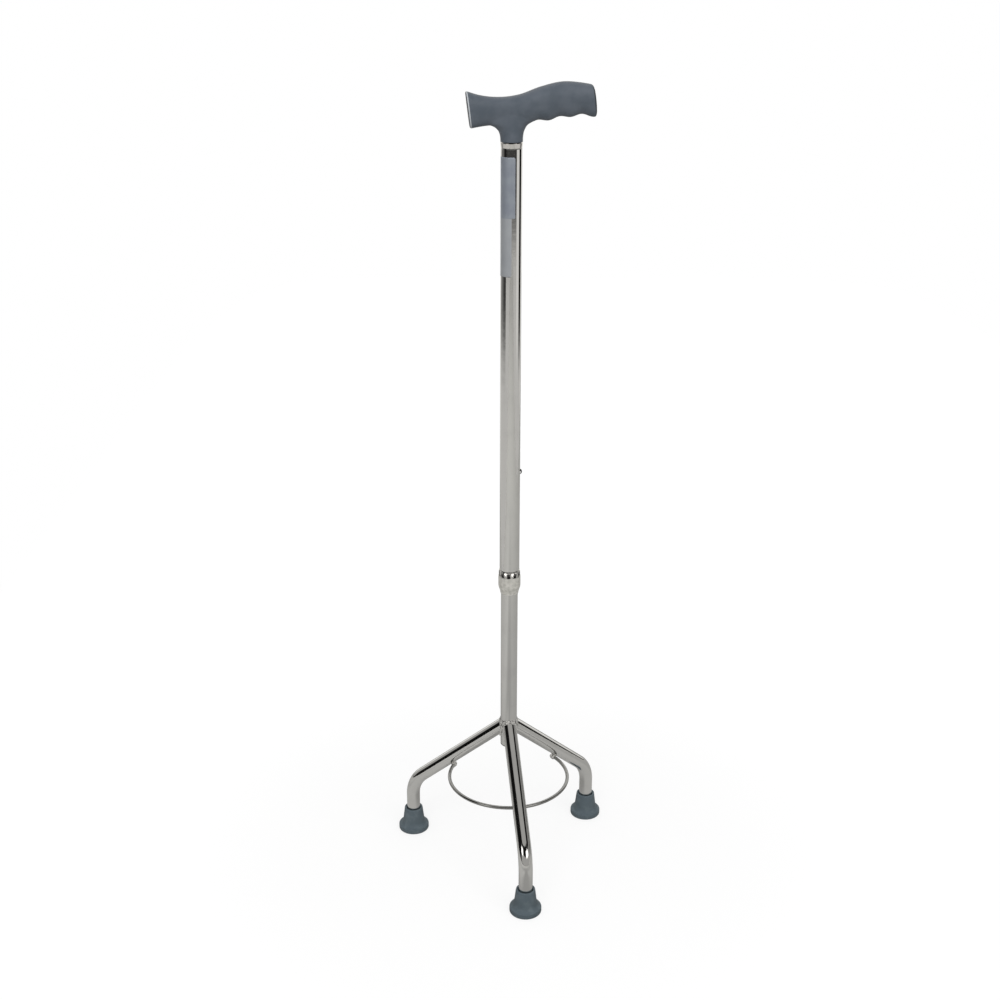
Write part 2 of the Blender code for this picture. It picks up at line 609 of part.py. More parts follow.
def grip_section(s, shrink):
    """One ring of the grip: a soft oval, a little narrower below, on a leaning plane."""
    turn = np.linspace(0.0, 2.0 * math.pi, GRIP_ROUND, endpoint=False)
    top, bottom = grip_top(s) - shrink, grip_bottom(s) + shrink
    middle, half = (top + bottom) / 2.0, (top - bottom) / 2.0
    squareness = 2.0 / 2.5
    up = np.sign(np.sin(turn)) * np.abs(np.sin(turn)) ** squareness
    side = np.sign(np.cos(turn)) * np.abs(np.cos(turn)) ** squareness
    taper = 1.0 - 0.10 * np.clip(-up, 0.0, 1.0)
    z = middle + half * up
    y = (grip_half_width(s) - shrink) * side * taper
    x = s + GRIP_RAKE * (z - GRIP_MIDDLE_Z)
    return np.stack([x, y, z + NECK_Z], axis=1)


def grip_body():
    """The palm piece, lofted along X with rounded end faces."""
    waist = 6.0 * MM
    inner = np.concatenate([np.linspace(GRIP_NOSE, waist, NOSE_STATIONS)[:-1],
                            np.linspace(waist, GRIP_TAIL, TAIL_STATIONS)])
    stations = [(s, 0.0) for s in inner]
    for depth, angle in ((0.55, 27.0), (0.95, 60.0)):
        out = GRIP_EDGE * math.sin(math.radians(angle))
        inset = GRIP_EDGE * (1.0 - math.cos(math.radians(angle)))
        stations.insert(0, (GRIP_NOSE - out * 0.8, inset))
        stations.append((GRIP_TAIL + out * 0.8, inset))
    return bridged("handle_grip", [grip_section(s, shrink) for s, shrink in stations], GRIP_PLASTIC,
                   HEIGHT_SLIDE, sharp=50.0)


def neck_flare():
    """The neck, lofted upwards: round at the trim ring, flaring along X into the grip."""
    rings = []
    turn = np.linspace(0.0, 2.0 * math.pi, GRIP_ROUND, endpoint=False)
    top = NECK_TO_NOSE[-1][0]
    for z in top * np.array([0.0, 0.125, 0.25, 0.375, 0.5, 0.604, 0.688, 0.771, 0.875, 1.0]):
        back, ahead = smooth_curve(NECK_TO_NOSE, z), smooth_curve(NECK_TO_TAIL, z)
        x = np.where(np.cos(turn) < 0.0, back, ahead) * np.cos(turn)
        y = NECK_R * smooth_curve(NECK_FULLNESS, z) * np.sin(turn)
        rings.append(np.stack([x, y, np.full_like(x, NECK_Z + z)], axis=1))
    return bridged("neck_flare", rings, None, HEIGHT_SLIDE, sharp=50.0)


def handle():
    """Grip, neck and stem as one moulding over a steel core, pinned into the tube."""
    grip = grip_body()
    boolean(grip, neck_flare(), "UNION")
    stem = [(0.0, NECK_Z + 8.0 * MM), (STEM_R, NECK_Z + 8.0 * MM), (STEM_R, STEM_BOTTOM_Z + MM),
            (STEM_R - MM, STEM_BOTTOM_Z), (0.0, STEM_BOTTOM_Z)]
    boolean(grip, turned("stem", stem, None, HEIGHT_SLIDE, closed=False), "UNION")
    core_bottom = STEM_BOTTOM_Z + 2.0 * MM
    core_top = core_bottom + CORE_LENGTH
    boolean(grip, cylinder("core_bore", CORE_R + FIT, (0, 0, STEM_BOTTOM_Z - MM), (0, 0, core_top + FIT),
                           parent=HEIGHT_SLIDE, sides=24))
    boolean(grip, pin_bore("grip_pin_bore"))
    inner = CORE_R - CORE_WALL
    core = turned("handle_core", [(CORE_R, core_top), (CORE_R, core_bottom), (inner, core_bottom),
                                  (inner, core_top)], SPRING_STEEL, HEIGHT_SLIDE, sides=24)
    boolean(core, pin_bore("core_pin_bore"))
    half = math.sqrt(UPPER_R ** 2 - PIN_R ** 2) - 0.1 * MM
    ends = [(0.0, half), (0.7 * PIN_R, half), (PIN_R, half - 0.3 * PIN_R), (PIN_R, 0.3 * PIN_R - half),
            (0.7 * PIN_R, -half), (0.0, -half)]
    pin = turned("handle_pin", ends, SPRING_STEEL, HEIGHT_SLIDE, sides=16, closed=False)
    pin.rotation_euler.x = math.pi / 2.0
    pin.location.z = PIN_Z

    lip = UPPER_R + TRIM_LIP
    bore = STEM_R + FIT
    top = TRIM_Z + TRIM_H
    band = [(bore, top), (UPPER_R, top), (lip, top - TRIM_LIP), (UPPER_R, TRIM_Z + TRIM_EDGE),
            (UPPER_R - TRIM_EDGE, TRIM_Z), (bore, TRIM_Z)]
    turned("trim_ring", band, CHROME, HEIGHT_SLIDE)


tripod()
lower_tube()
snap_button()
upper_tube()
end_sleeve()
lock_nut()
collet()
handle()
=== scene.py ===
# %% [markdown]
# # A tripod cane, dressed for its portrait
#
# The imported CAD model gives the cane's true sizes and the bodies that move. This script puts
# finer surfaces over those solids, gives each one its finish, and builds a small studio. Most of
# the cane is chromed tube, and chrome has no colour of its own: it shows the room. So the work
# goes into smooth surfaces first, and then into a room that is worth reflecting.

# %% Load the frame
import json
import math

import bmesh
import bpy
import numpy as np
from mathutils import Matrix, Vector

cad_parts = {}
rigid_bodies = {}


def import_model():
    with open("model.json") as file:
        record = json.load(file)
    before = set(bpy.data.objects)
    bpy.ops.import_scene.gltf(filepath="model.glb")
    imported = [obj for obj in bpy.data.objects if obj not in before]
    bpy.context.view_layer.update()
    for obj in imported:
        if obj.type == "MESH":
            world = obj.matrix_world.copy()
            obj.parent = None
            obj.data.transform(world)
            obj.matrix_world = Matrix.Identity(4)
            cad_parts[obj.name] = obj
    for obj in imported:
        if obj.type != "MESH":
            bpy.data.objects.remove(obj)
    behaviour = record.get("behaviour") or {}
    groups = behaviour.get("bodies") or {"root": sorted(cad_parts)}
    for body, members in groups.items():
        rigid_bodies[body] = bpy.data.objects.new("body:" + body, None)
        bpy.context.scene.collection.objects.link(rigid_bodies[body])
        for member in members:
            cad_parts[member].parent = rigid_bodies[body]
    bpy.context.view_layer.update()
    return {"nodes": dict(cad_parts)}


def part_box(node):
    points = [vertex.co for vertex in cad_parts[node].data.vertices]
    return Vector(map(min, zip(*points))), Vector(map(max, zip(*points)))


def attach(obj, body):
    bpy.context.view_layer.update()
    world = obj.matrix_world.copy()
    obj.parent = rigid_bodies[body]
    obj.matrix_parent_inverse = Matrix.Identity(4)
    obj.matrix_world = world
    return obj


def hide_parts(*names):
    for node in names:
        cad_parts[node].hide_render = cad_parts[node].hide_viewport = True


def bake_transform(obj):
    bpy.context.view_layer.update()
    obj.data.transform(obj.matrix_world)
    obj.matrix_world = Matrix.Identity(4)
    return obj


for leftover in list(bpy.data.objects):
    bpy.data.objects.remove(leftover, do_unlink=True)
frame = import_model()

# %% [markdown]
# ## Where things are
#
# Every piece sits in the row frame, in metres. The shaft stands a quarter of the foot circle's
# radius behind the origin. Heights and radii are read from the CAD boxes where they can be, so a
# change of the solids carries over; what a box can't tell is written down once.

# %% Measures taken from the solids
MM = 0.001
shaft = np.array([0.0, (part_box("lower_tube")[0].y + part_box("lower_tube")[1].y) / 2.0])


def radius_of(node):
    """Half the width along X of a round piece."""
    low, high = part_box(node)
    return (high.x - low.x) / 2.0


def heights_of(node):
    """Lowest and highest z of a piece."""
    low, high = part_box(node)
    return low.z, high.z


fit = 0.3 * MM             # gap between neighbouring solids
tube_wall = 1.2 * MM
lower_r, upper_r = radius_of("lower_tube"), radius_of("upper_tube")
lower_z, upper_z = heights_of("lower_tube"), heights_of("upper_tube")
button_z, pin_z, brace_z = (sum(heights_of(node)) / 2.0
                            for node in ("snap_button", "handle_pin", "brace_wire"))
button_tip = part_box("snap_button")[1].x
sleeve_low, collar_top = heights_of("end_sleeve")
neck_z = heights_of("trim_ring")[1] + fit
leg_r, leg_slope, leg_bend_r, leg_apex_z = 8.0 * MM, math.radians(41.0), 40.0 * MM, 176.0 * MM
foot_circle_r, brace_r = 125.0 * MM, 70.0 * MM
leg_azimuths = {"front": math.radians(-90.0), "right": math.radians(30.0),
                "left": math.radians(150.0)}
print("tubes in mm:", round(2000 * upper_r, 2), "over", round(2000 * lower_r, 2))

# %% [markdown]
# ## From arrays to meshes
#
# A surface here is a grid of points worked out at once with numpy: rows run one way over the
# piece and columns the other. One helper turns such a grid into a mesh, joining the last column
# to the first where the piece is round. Points that fall together, as at a pole, are merged.


# %% Grid to mesh
def put(name, data):
    """Make an object of a mesh, a lamp or a camera and link it into the scene."""
    made = bpy.data.objects.new(name, data)
    bpy.context.scene.collection.objects.link(made)
    return made


def once_round(count):
    """Equally spaced angles round one full turn."""
    return np.linspace(0.0, 2.0 * math.pi, count, endpoint=False)


def quads_of(rows, columns, closed_rows, closed_columns):
    """Point numbers of the faces: quad (i, j) joins rows i and i+1 and columns j and j+1."""
    index = np.arange(rows * columns).reshape(rows, columns)
    down = np.roll(index, -1, axis=0) if closed_rows else index[1:]
    here = index if closed_rows else index[:-1]
    quads = np.stack([here, np.roll(here, -1, axis=1), np.roll(down, -1, axis=1), down], axis=-1)
    return (quads if closed_columns else quads[:, :-1]).reshape(-1, 4)


def piece(name, grid, finish, body, stands_for=(), closed_rows=False, closed_columns=True,
          sharp=40.0):
    """Mesh a (rows, columns, 3) grid, merge doubled points, turn faces outwards, ride on a body."""
    mesh = bpy.data.meshes.new(name)
    quads = quads_of(*grid.shape[:2], closed_rows, closed_columns)
    mesh.from_pydata(grid.reshape(-1, 3), [], quads)
    bm = bmesh.new()
    bm.from_mesh(mesh)
    bmesh.ops.remove_doubles(bm, verts=bm.verts, dist=0.002 * MM)
    bmesh.ops.recalc_face_normals(bm, faces=bm.faces)
    bm.to_mesh(mesh)
    bm.free()
    mesh.shade_smooth()
    mesh.set_sharp_from_angle(angle=math.radians(sharp))
    mesh.materials.append(finish)
    made = put(name, mesh)
    if body is not None:
        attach(made, body)
    if stands_for:
        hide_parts(*stands_for)
    print(name, len(mesh.polygons), "faces")
    return made


def capped(grid):
    """Close a loft with a row at each end whose points all lie in the middle of that section."""
    low, high = (np.broadcast_to(row.mean(axis=0), row.shape)[None] for row in (grid[0], grid[-1]))
    return np.concatenate([low, grid, high])


# %% [markdown]
# A turned piece is a profile of (radius, height) points spun about an axis, as on a lathe. Real
# turned edges are never razor sharp, and on chrome it is the small rounding that catches a line
# of light, so the profile's corners are rounded before it is spun. A mirror also shows where
# smooth shading leans a long wall over towards its rounded end, so a holding point follows each
# corner.


# %% Profiles and turning
def softened(profile, radius, steps=5):
    """Round each corner by (1-t)^2 start + 2t(1-t) corner + t^2 end, between holding points."""
    corner, held = np.asarray(profile, float)[:, None], 1.2
    before, after = np.roll(corner, 1, axis=0) - corner, np.roll(corner, -1, axis=0) - corner
    length_b, length_a = (np.linalg.norm(way, axis=-1, keepdims=True) for way in (before, after))
    reach = np.minimum(radius, 0.4 * np.minimum(length_b, length_a))
    to_start, to_end = before * (reach / length_b), after * (reach / length_a)
    t = np.linspace(0.0, 1.0, steps + 1)[:, None]
    curve = ((1 - t) ** 2 * (corner + to_start) + 2 * t * (1 - t) * corner
             + t ** 2 * (corner + to_end))
    holds = corner + held * to_start, corner + held * to_end
    return np.concatenate([holds[0], curve, holds[1]], axis=1).reshape(-1, 2)


def about(radius, angle, z, centre=shaft):
    """Points at a radius and an angle about a vertical axis: (r cos a, r sin a, z)."""
    x, y = centre[0] + radius * np.cos(angle), centre[1] + radius * np.sin(angle)
    return np.stack(np.broadcast_arrays(x, y, z), -1)


def turned_grid(profile, sides=128, centre=shaft, swell=None):
    """Spin (radius, height) points; swell(angle, height) adds to the radius."""
    profile = np.asarray(profile, float)
    radius, height = profile[:, :1], profile[:, 1:]
    angle = once_round(sides)
    if swell is not None:
        radius = radius + swell(angle, height)
    return about(radius, angle, height, centre)


def turned(name, profile, finish, body, stands_for=(), sides=128, centre=shaft, swell=None,
           sharp=40.0):
    """A closed profile spun into a solid piece."""
    grid = turned_grid(profile, sides, centre, swell)
    return piece(name, grid, finish, body, stands_for, closed_rows=True, sharp=sharp)


print("a softened square:", len(softened([(1, 0), (1, 1), (0, 1), (0, 0)], 0.1)), "points")

# %% [markdown]
# A bent tube or a wire is a circle carried along a path. The path lies in a plane here, so the
# plane's own normal gives the circle one of its two directions, and the tube never twists.


# %% Sweeping along a path
def swept_grid(path, radius, across, sides=64):
    """Carry a circle along a planar path: point + r (cos t, sin t) in the plane square to it."""
    path = np.asarray(path, float)
    run = np.gradient(path, axis=0)
    run /= np.linalg.norm(run, axis=1)[:, None]
    across = np.asarray(across, float) / np.linalg.norm(across)
    up = np.cross(across, run)
    radius = np.broadcast_to(radius, len(path))[:, None, None]
    t = once_round(sides)
    circle = np.cos(t)[None, :, None] * across + np.sin(t)[None, :, None] * up[:, None, :]
    return path[:, None, :] + radius * circle


# %% [markdown]
# ## Writing finishes as formulas
#
# A finish is a small network of nodes. To keep it readable, one class wraps an output socket, so
# that `0.05 + 0.04 * smudge` adds the Math nodes it needs, and one method makes every other node.


# %% Wires and networks
class Wire:
    """An output socket that takes +, - and * with numbers and other wires, and | for the larger."""

    def __init__(self, net, socket):
        self.net, self.socket = net, socket

    def maths(self, operation, other=0.0):
        """A Math node with this wire in its first socket."""
        return self.net.node("ShaderNodeMath", {0: self, 1: other}, operation=operation)

    def __add__(self, other):
        return self.maths("ADD", other)

    def __sub__(self, other):
        return self.maths("SUBTRACT", other)

    def __rsub__(self, other):
        return self.net.node("ShaderNodeMath", {0: other, 1: self}, operation="SUBTRACT")

    def __mul__(self, other):
        return self.maths("MULTIPLY", other)

    def __or__(self, other):
        return self.maths("MAXIMUM", other)

    __radd__, __rmul__ = __add__, __mul__

    def axis(self, index):
        """One number of a vector: 0 for x, 1 for y, 2 for z."""
        return self.net.node("ShaderNodeSeparateXYZ", {0: self}, out=index)

    def between(self, low, high):
        """0 below low, 1 above high, and a smooth step from one to the other."""
        sockets = {"Value": self, "From Min": low, "From Max": high}
        return self.net.node("ShaderNodeMapRange", sockets, interpolation_type="SMOOTHSTEP")

    def within(self, low, high, soft):
        """1 between low and high, 0 outside, with soft borders."""
        return self.between(low - soft, low + soft) * (1 - self.between(high - soft, high + soft))


class Network:
    """The nodes of one material or of the world."""

    def __init__(self, owner):
        self.owner = owner
        owner.use_nodes = True
        self.nodes, self.links = owner.node_tree.nodes, owner.node_tree.links
        self.nodes.clear()

    def node(self, kind, sockets=None, out=0, **settings):
        """Add a node, apply its settings, then fill or link its sockets; gives back one output."""
        made = self.nodes.new(kind)
        for key, value in settings.items():
            setattr(made, key, value)
        for key, value in (sockets or {}).items():
            if isinstance(value, Wire):
                self.links.new(value.socket, made.inputs[key])
            else:
                made.inputs[key].default_value = value
        return Wire(self, made.outputs[out]) if made.outputs else None

    def mix(self, mask, first, second):
        """A number that goes from first to second as the mask goes from 0 to 1."""
        return self.node("ShaderNodeMix", {0: mask, 2: first, 3: second})

    def blend(self, mask, first, second):
        """A colour that goes from first to second as the mask goes from 0 to 1."""
        return self.node("ShaderNodeMix", {0: mask, 6: first, 7: second}, 2, data_type="RGBA")

    def noise(self, place, size, detail=2.0, stretch=None):
        """Soft noise whose patches measure about `size` metres; stretch scales the axes."""
        if stretch is not None:
            place = self.node("ShaderNodeMapping", {"Vector": place, "Scale": stretch})
        sockets = {"Vector": place, "Scale": 1.0 / size, "Detail": detail}
        return self.node("ShaderNodeTexNoise", sockets)

    def relief(self, height, depth, strength=1.0):
        """A normal bent by a height map `depth` metres deep."""
        sockets = {"Height": height, "Distance": depth, "Strength": strength}
        return self.node("ShaderNodeBump", sockets)


# %% Colours and finishes
def rgb(red, green, blue):
    """An sRGB colour in 0-255 steps, as the linear values that a shader takes."""
    share = np.array([red, green, blue]) / 255.0
    linear = np.where(share <= 0.04045, share / 12.92, ((share + 0.055) / 1.055) ** 2.4)
    return (*linear, 1.0)


def begin(name):
    """A new material's network, and the object coordinates, in metres, to lay patterns out in."""
    net = Network(bpy.data.materials.new(name))
    return net, net.node("ShaderNodeTexCoord", out="Object")


def surface(net, colour, roughness, normal=None, **rest):
    """Close a network with a Principled shader; each rest entry is one of its sockets."""
    sockets = {"Base Color": colour, "Roughness": roughness, **rest}
    if normal is not None:
        sockets["Normal"] = normal
    shader = net.node("ShaderNodeBsdfPrincipled", sockets)
    net.node("ShaderNodeOutputMaterial", {"Surface": shader})
    print(net.owner.name, "has", len(net.nodes), "nodes")
    return net.owner


# %% [markdown]
# ## Chrome
#
# Chrome plate on drawn tube is a mirror that isn't quite flat. The drawing of the tube leaves
# faint lengthwise waves, the polishing leaves an orange-peel of a few millimetres, and hands
# leave smudges. It shows as a slight wander of the reflections, so it goes into the bump and the
# roughness. The trim ring is plated brighter than the tubes. The brace wire's chrome is a darkened,
# rougher copy of the tubes' chrome, painted shade.


# %% Chrome plate
def chrome_finish(name, tint, roughness, wave, haze):
    """Mirror chrome: roughness and relief vary a little over the surface."""
    net, place = begin(name)
    smudge = net.noise(place, 26 * MM, 4.0).between(0.45, 0.75)
    speck = net.noise(place, 0.9 * MM, 1.0).between(0.66, 0.74)
    peel = net.noise(place, 7 * MM, 1.0) + 0.25 * net.noise(place, 1.6 * MM, 1.0)
    dirty = (*(0.86 * c for c in tint[:3]), 1.0)
    colour = net.blend(smudge * 0.35 + speck * 0.2, tint, dirty)
    return surface(net, colour, roughness + haze * smudge + 0.08 * speck, net.relief(peel, wave),
                   Metallic=1.0)


chrome = chrome_finish("chrome_plate", (0.80, 0.795, 0.78, 1.0), 0.07, 0.02 * MM, 0.05)
bright_chrome = chrome_finish("bright_chrome_trim", (0.86, 0.84, 0.81, 1.0), 0.09, 0.01 * MM, 0.03)
# painted shade: the brace wire's chrome is the tubes' chrome darkened to a 0.38 tint and made
# rougher
wire_chrome_painted_dark = chrome_finish("wire_plate_painted_dark", (0.38, 0.38, 0.37, 1.0), 0.14, 0.03 * MM, 0.08)

# %% [markdown]
# Where the legs are welded on, the plate covers a bead with ripples, spatter and file marks, so
# its small facets point everywhere and it glitters. The facets are real, in the bump. The glints
# are also painted, as dark and near-white patches in the colour.

# %% Plated weld
net, place = begin("plated_weld_painted_glints")
grain = net.noise(place, 1.9 * MM, 3.0)
pits = net.node("ShaderNodeTexVoronoi", {"Vector": place, "Scale": 1.0 / (1.7 * MM)})
# painted glints: the weld's colour jumps between dark and near-white patches
painted_dark_facet, painted_glint = (0.20, 0.195, 0.19, 1.0), (0.96, 0.95, 0.93, 1.0)
weld_chrome = surface(net, net.blend(grain.between(0.35, 0.50), painted_dark_facet, painted_glint),
                      0.06 + 0.15 * grain.between(0.4, 0.7),
                      net.relief(grain + 0.4 * pits, 1.0 * MM), Metallic=1.0)

# %% [markdown]
# The snap button is painted nearly black, a painted dark reflection, with a painted highlight: a
# near-white band along either side of its shank.

# %% Button with a painted highlight
net, place = begin("button_plate_painted_highlight")
x, z = place.axis(0), place.axis(2)
off = (z - button_z).maths("ABSOLUTE")
on_dome = x.between(button_tip - 1.9 * MM, button_tip - 1.3 * MM)
# painted highlight: a near-white band along each side of the shank; the rest is painted near-black
painted_highlight_band = (1 - off.between(0.8 * MM, 1.3 * MM)) * (1 - on_dome)
colour = net.blend(painted_highlight_band, (0.02, 0.02, 0.02, 1.0), (0.95, 0.95, 0.94, 1.0))
button_painted_highlight_plate = surface(net, colour, 0.30, Metallic=0.3)

# %% [markdown]
# ## Satin metal, plastic, rubber and film
#
# The lock nut is a casting with a fine blasted skin. The handle is moulded in slate-grey plastic
# with a spark-eroded texture; its end faces are painted darker, painted shade, and a pale line at
# the rim of its short end is a painted highlight. Its sections lean, and the short end's face is
# turned a little about the vertical, so `along` undoes both. The ferrules are rubber of the same
# colour but duller and dustier. The film round the tube is silvery and left bare, its lower half a
# little paler.

# %% Blasted nut
net, place = begin("blasted_nut")
blast = net.noise(place, 0.8 * MM, 3.0)
cloud = net.noise(place, 3.4 * MM, 3.0)
colour = net.blend(cloud.between(0.3, 0.7), rgb(212, 211, 204), rgb(243, 241, 235))
blasted_nut = surface(net, colour, 0.34 + 0.16 * blast.between(0.3, 0.7),
                      net.relief(blast + 0.7 * cloud, 0.12 * MM, 0.7), Metallic=0.7)

# %% Moulded handle
lean, lean_from, nose_turn = 0.125, 33.0, 0.09    # slopes, and the height in mm without lean
nose_face, tail_face = -44.5, 84.7                # where the end faces begin, in mm
net, place = begin("moulded_handle")
erosion = net.noise(place, 0.55 * MM, 2.0)
tone = net.noise(place, 16 * MM, 3.0)
shine = net.noise(place, 30 * MM, 2.0).between(0.4, 0.7)
x, y, z = (place.axis(i) for i in range(3))
along = x + lean * (z - (neck_z + lean_from * MM)) - nose_turn * (y - shaft[1])
along = along * (1.0 / MM)
# painted shade: both end faces of the handle are coloured darker
painted_end_shade = 1 - along.within(nose_face, tail_face, 0.3)
# painted highlight: a pale line along the rim of the short end
rim = along.within(nose_face, nose_face + 1.3, 0.35)
colour = net.blend(tone.between(0.3, 0.7), rgb(74, 82, 91), rgb(85, 92, 101))
colour = net.blend(painted_end_shade, colour, rgb(44, 48, 54))
colour = net.blend(rim, colour, rgb(176, 180, 184))
moulded_handle = surface(net, colour, 0.46 - 0.08 * shine + 0.10 * erosion.between(0.35, 0.65),
                         net.relief(erosion, 0.035 * MM, 0.6))

# %% Ferrule rubber
net, place = begin("ferrule_rubber_skin")
skin = net.noise(place, 0.7 * MM, 3.0)
dust = net.noise(place, 9 * MM, 4.0).between(0.48, 0.75)
flecks = net.noise(place, 1.1 * MM, 1.0).between(0.68, 0.76)
colour = net.blend(dust * 0.5 + flecks * 0.35, rgb(85, 97, 104), rgb(115, 126, 130))
ferrule_rubber = surface(net, colour, 0.55 + 0.2 * dust, net.relief(skin, 0.06 * MM, 0.7))

# %% Bare silver film
film_top, film_step, film_foot = 829.0, 767.0, 706.0    # heights in mm
net, place = begin("silver_film")
drift = net.noise(place, 12 * MM, 3.0)
fibre = net.noise(place, 0.8 * MM, 2.0, stretch=(1.0, 1.0, 0.2))
low_half = 1 - place.axis(2).between((film_step - 0.5) * MM, (film_step + 0.5) * MM)
colour = net.blend(drift.between(0.3, 0.7), rgb(139, 145, 156), rgb(151, 157, 166))
colour = net.blend(0.45 * low_half, colour, rgb(186, 187, 186))
silver_film = surface(net, colour, 0.34 + 0.1 * fibre.between(0.3, 0.7),
                      net.relief(fibre, 0.01 * MM, 0.5), Metallic=0.35)

# %% [markdown]
# The hollows of the collar are painted nearly black as painted shade, darkest at their foot. The
# cosine of ten times the azimuth is 1 in the middle of each of the ten hollows. Between them the
# skin leans back by about 23 degrees, as the teeth of a knurl do, so the lumps mirror the windows
# and the black between them; a height that falls by 0.42 of z gives that lean.
#
# The pieces inside the tubes show only when the cane is taken apart, so they get plain honest
# finishes: milky nylon, and steel with drawing lines.

# %% Collar finish
hollow_count, hollow_turn = 10, math.radians(5.0)
net, place = begin("collar_plate")
x, y, z = (place.axis(i) for i in range(3))
azimuth = (y - shaft[1]).maths("ARCTAN2", x) - hollow_turn
in_hollow = (hollow_count * azimuth).maths("COSINE").between(-0.25, 0.45)
low_down = 1 - (z - collar_top).between(-6.4 * MM, -2.0 * MM)
# painted shade: the hollows are coloured nearly black, most of all towards their foot
clean, painted_shade_colour = (0.93, 0.92, 0.89, 1.0), (0.035, 0.034, 0.033, 1.0)
colour = net.blend(in_hollow * (0.35 + 0.65 * low_down), clean, painted_shade_colour)
leaning = -0.42 * (z * (1 - in_hollow * low_down))
collar_plate = surface(net, colour, 0.08 + 0.15 * in_hollow, net.relief(leaning, 1.0),
                       Metallic=1.0)

# %% Hidden pieces
net, place = begin("milky_nylon")
milk = net.noise(place, 5 * MM, 3.0)
colour = net.blend(milk.between(0.3, 0.7), rgb(214, 212, 202), rgb(228, 226, 219))
nylon = surface(net, colour, 0.42 + 0.12 * milk, net.relief(milk, 0.02 * MM, 0.5))

net, place = begin("drawn_steel")
lines = net.noise(place, 0.5 * MM, 2.0, stretch=(1.0, 1.0, 0.05))
colour = net.blend(lines.between(0.3, 0.7), rgb(150, 150, 152), rgb(184, 184, 185))
drawn_steel = surface(net, colour, 0.25 + 0.2 * lines, net.relief(lines, 0.01 * MM, 0.6),
                      Metallic=1.0)

washers = [f"washer_{side}" for side in leg_azimuths]
for inner, nodes in ((nylon, ["collet", "guide_bush"]),
                     (drawn_steel, ["handle_core", "handle_pin", *washers])):
    for node in nodes:
        frame["nodes"][node].data.materials.clear()
        frame["nodes"][node].data.materials.append(inner)

# %% [markdown]
# ## The two tubes
#
# Each tube is a thin rectangle spun about the shaft. The upper one has its row of holes for the
# button and a cross hole for the handle's pin; they are drilled with a Boolean, on a surface of
# 256 sides, where the cut leaves no dents in the reflections.


# %% Tubes
def bars(name, middles, radius, lay):
    """Drill bits: 40 mm bars about the given middles, laid down by a rotation."""
    bm = bmesh.new()
    for middle in middles:
        bmesh.ops.create_cone(bm, cap_ends=True, segments=48, radius1=radius, radius2=radius,
                              depth=bit_length, matrix=Matrix.Translation(middle) @ lay)
    bmesh.ops.recalc_face_normals(bm, faces=bm.faces)
    mesh = bpy.data.meshes.new(name)
    bm.to_mesh(mesh)
    bm.free()
    return put(name, mesh)


def applied(made):
    """Turn a piece's live modifiers into its own mesh."""
    ready = made.evaluated_get(bpy.context.evaluated_depsgraph_get())
    mesh = bpy.data.meshes.new_from_object(ready)
    made.modifiers.clear()
    made.data = mesh


def drilled(tube, *bits):
    """Cut every set of bars out of a tube and clear the bars away."""
    for bit in bits:
        cut = tube.modifiers.new("drill", "BOOLEAN")
        cut.operation, cut.solver, cut.object = "DIFFERENCE", "EXACT", bit
    applied(tube)
    tube.data.set_sharp_from_angle(angle=math.radians(30.0))
    for bit in bits:
        bpy.data.objects.remove(bit, do_unlink=True)
    print(tube.name, "drilled:", len(tube.data.polygons), "faces")


def tube_profile(outer, low, high):
    """A tube's section with small rounded ends."""
    inner, edge = outer - tube_wall, 0.3 * MM
    return softened([(outer, low), (outer, high), (inner, high), (inner, low)], edge, 3)


bit_length, button_hole_r, pin_hole_r = 40 * MM, 3.15 * MM, 2.3 * MM
hole_pitch, holes_below, holes_above = 25.4 * MM, 2, 4
along_x, along_y = Matrix.Rotation(math.pi / 2.0, 4, "Y"), Matrix.Rotation(-math.pi / 2.0, 4, "X")
button_side = [(bit_length / 2.0, shaft[1], button_z + k * hole_pitch)
               for k in range(-holes_below, holes_above + 1)]
upper_tube = turned("upper_tube_skin", tube_profile(upper_r, *upper_z), chrome, "upper_shaft",
                    ["upper_tube"], sides=256)
drilled(upper_tube, bars("stop_bits", button_side, button_hole_r, along_x),
        bars("pin_bit", [(0.0, shaft[1], pin_z)], pin_hole_r, along_y))
lower_tube = turned("lower_tube_skin", tube_profile(lower_r, *lower_z), chrome, "base",
                    ["lower_tube"], sides=256)
drilled(lower_tube, bars("button_bit", [button_side[holes_below]], button_hole_r, along_x))

# %% [markdown]
# The lower tube ends in a short stub below the legs, closed by a domed plug. The dome's section
# is a quarter of an ellipse, a little fuller at the rim: radius r cos^0.8 t, depth d sin t.

# %% End plug
plug_low, plug_high = heights_of("tube_end_plug")
dome_z, spigot_r = lower_z[0] - fit, lower_r - 1.5 * MM
t = np.linspace(0.0, math.pi / 2.0, 14)
dome = np.stack([lower_r * np.cos(t) ** 0.8, dome_z - (dome_z - plug_low) * np.sin(t)], -1)
spigot = [(0.0, plug_high), (spigot_r, plug_high), (spigot_r, dome_z)]
turned("end_plug_skin", np.vstack([spigot, dome]), chrome, "base", ["tube_end_plug"], sides=96)

# %% [markdown]
# ## The lock
#
# The collar at the upper tube's foot has ten hollows for the fingers, so it reads as a ring of
# lumps. Each hollow is a piece of a cylinder. Seen from the shaft at an angle d off a hollow's
# middle, that cylinder (radius h, its axis at distance c) starts at
# c cos d - sqrt(h^2 - c^2 sin^2 d), and the collar's radius is the smaller of that and its own.
# The lumps bulge too, and the hollows fade out below the top, as a milling cutter leaves them.

# %% Collar
collar_r, collar_h, collar_bulge = radius_of("end_sleeve"), 6.9 * MM, 0.9 * MM
collar_low = collar_top - collar_h
hollow_r, hollow_depth, hollow_pitch = 2.9 * MM, 0.8 * MM, 2.0 * math.pi / hollow_count
thread_depth, half_pitch, half_turns = 0.25 * MM, 0.75 * MM, 14


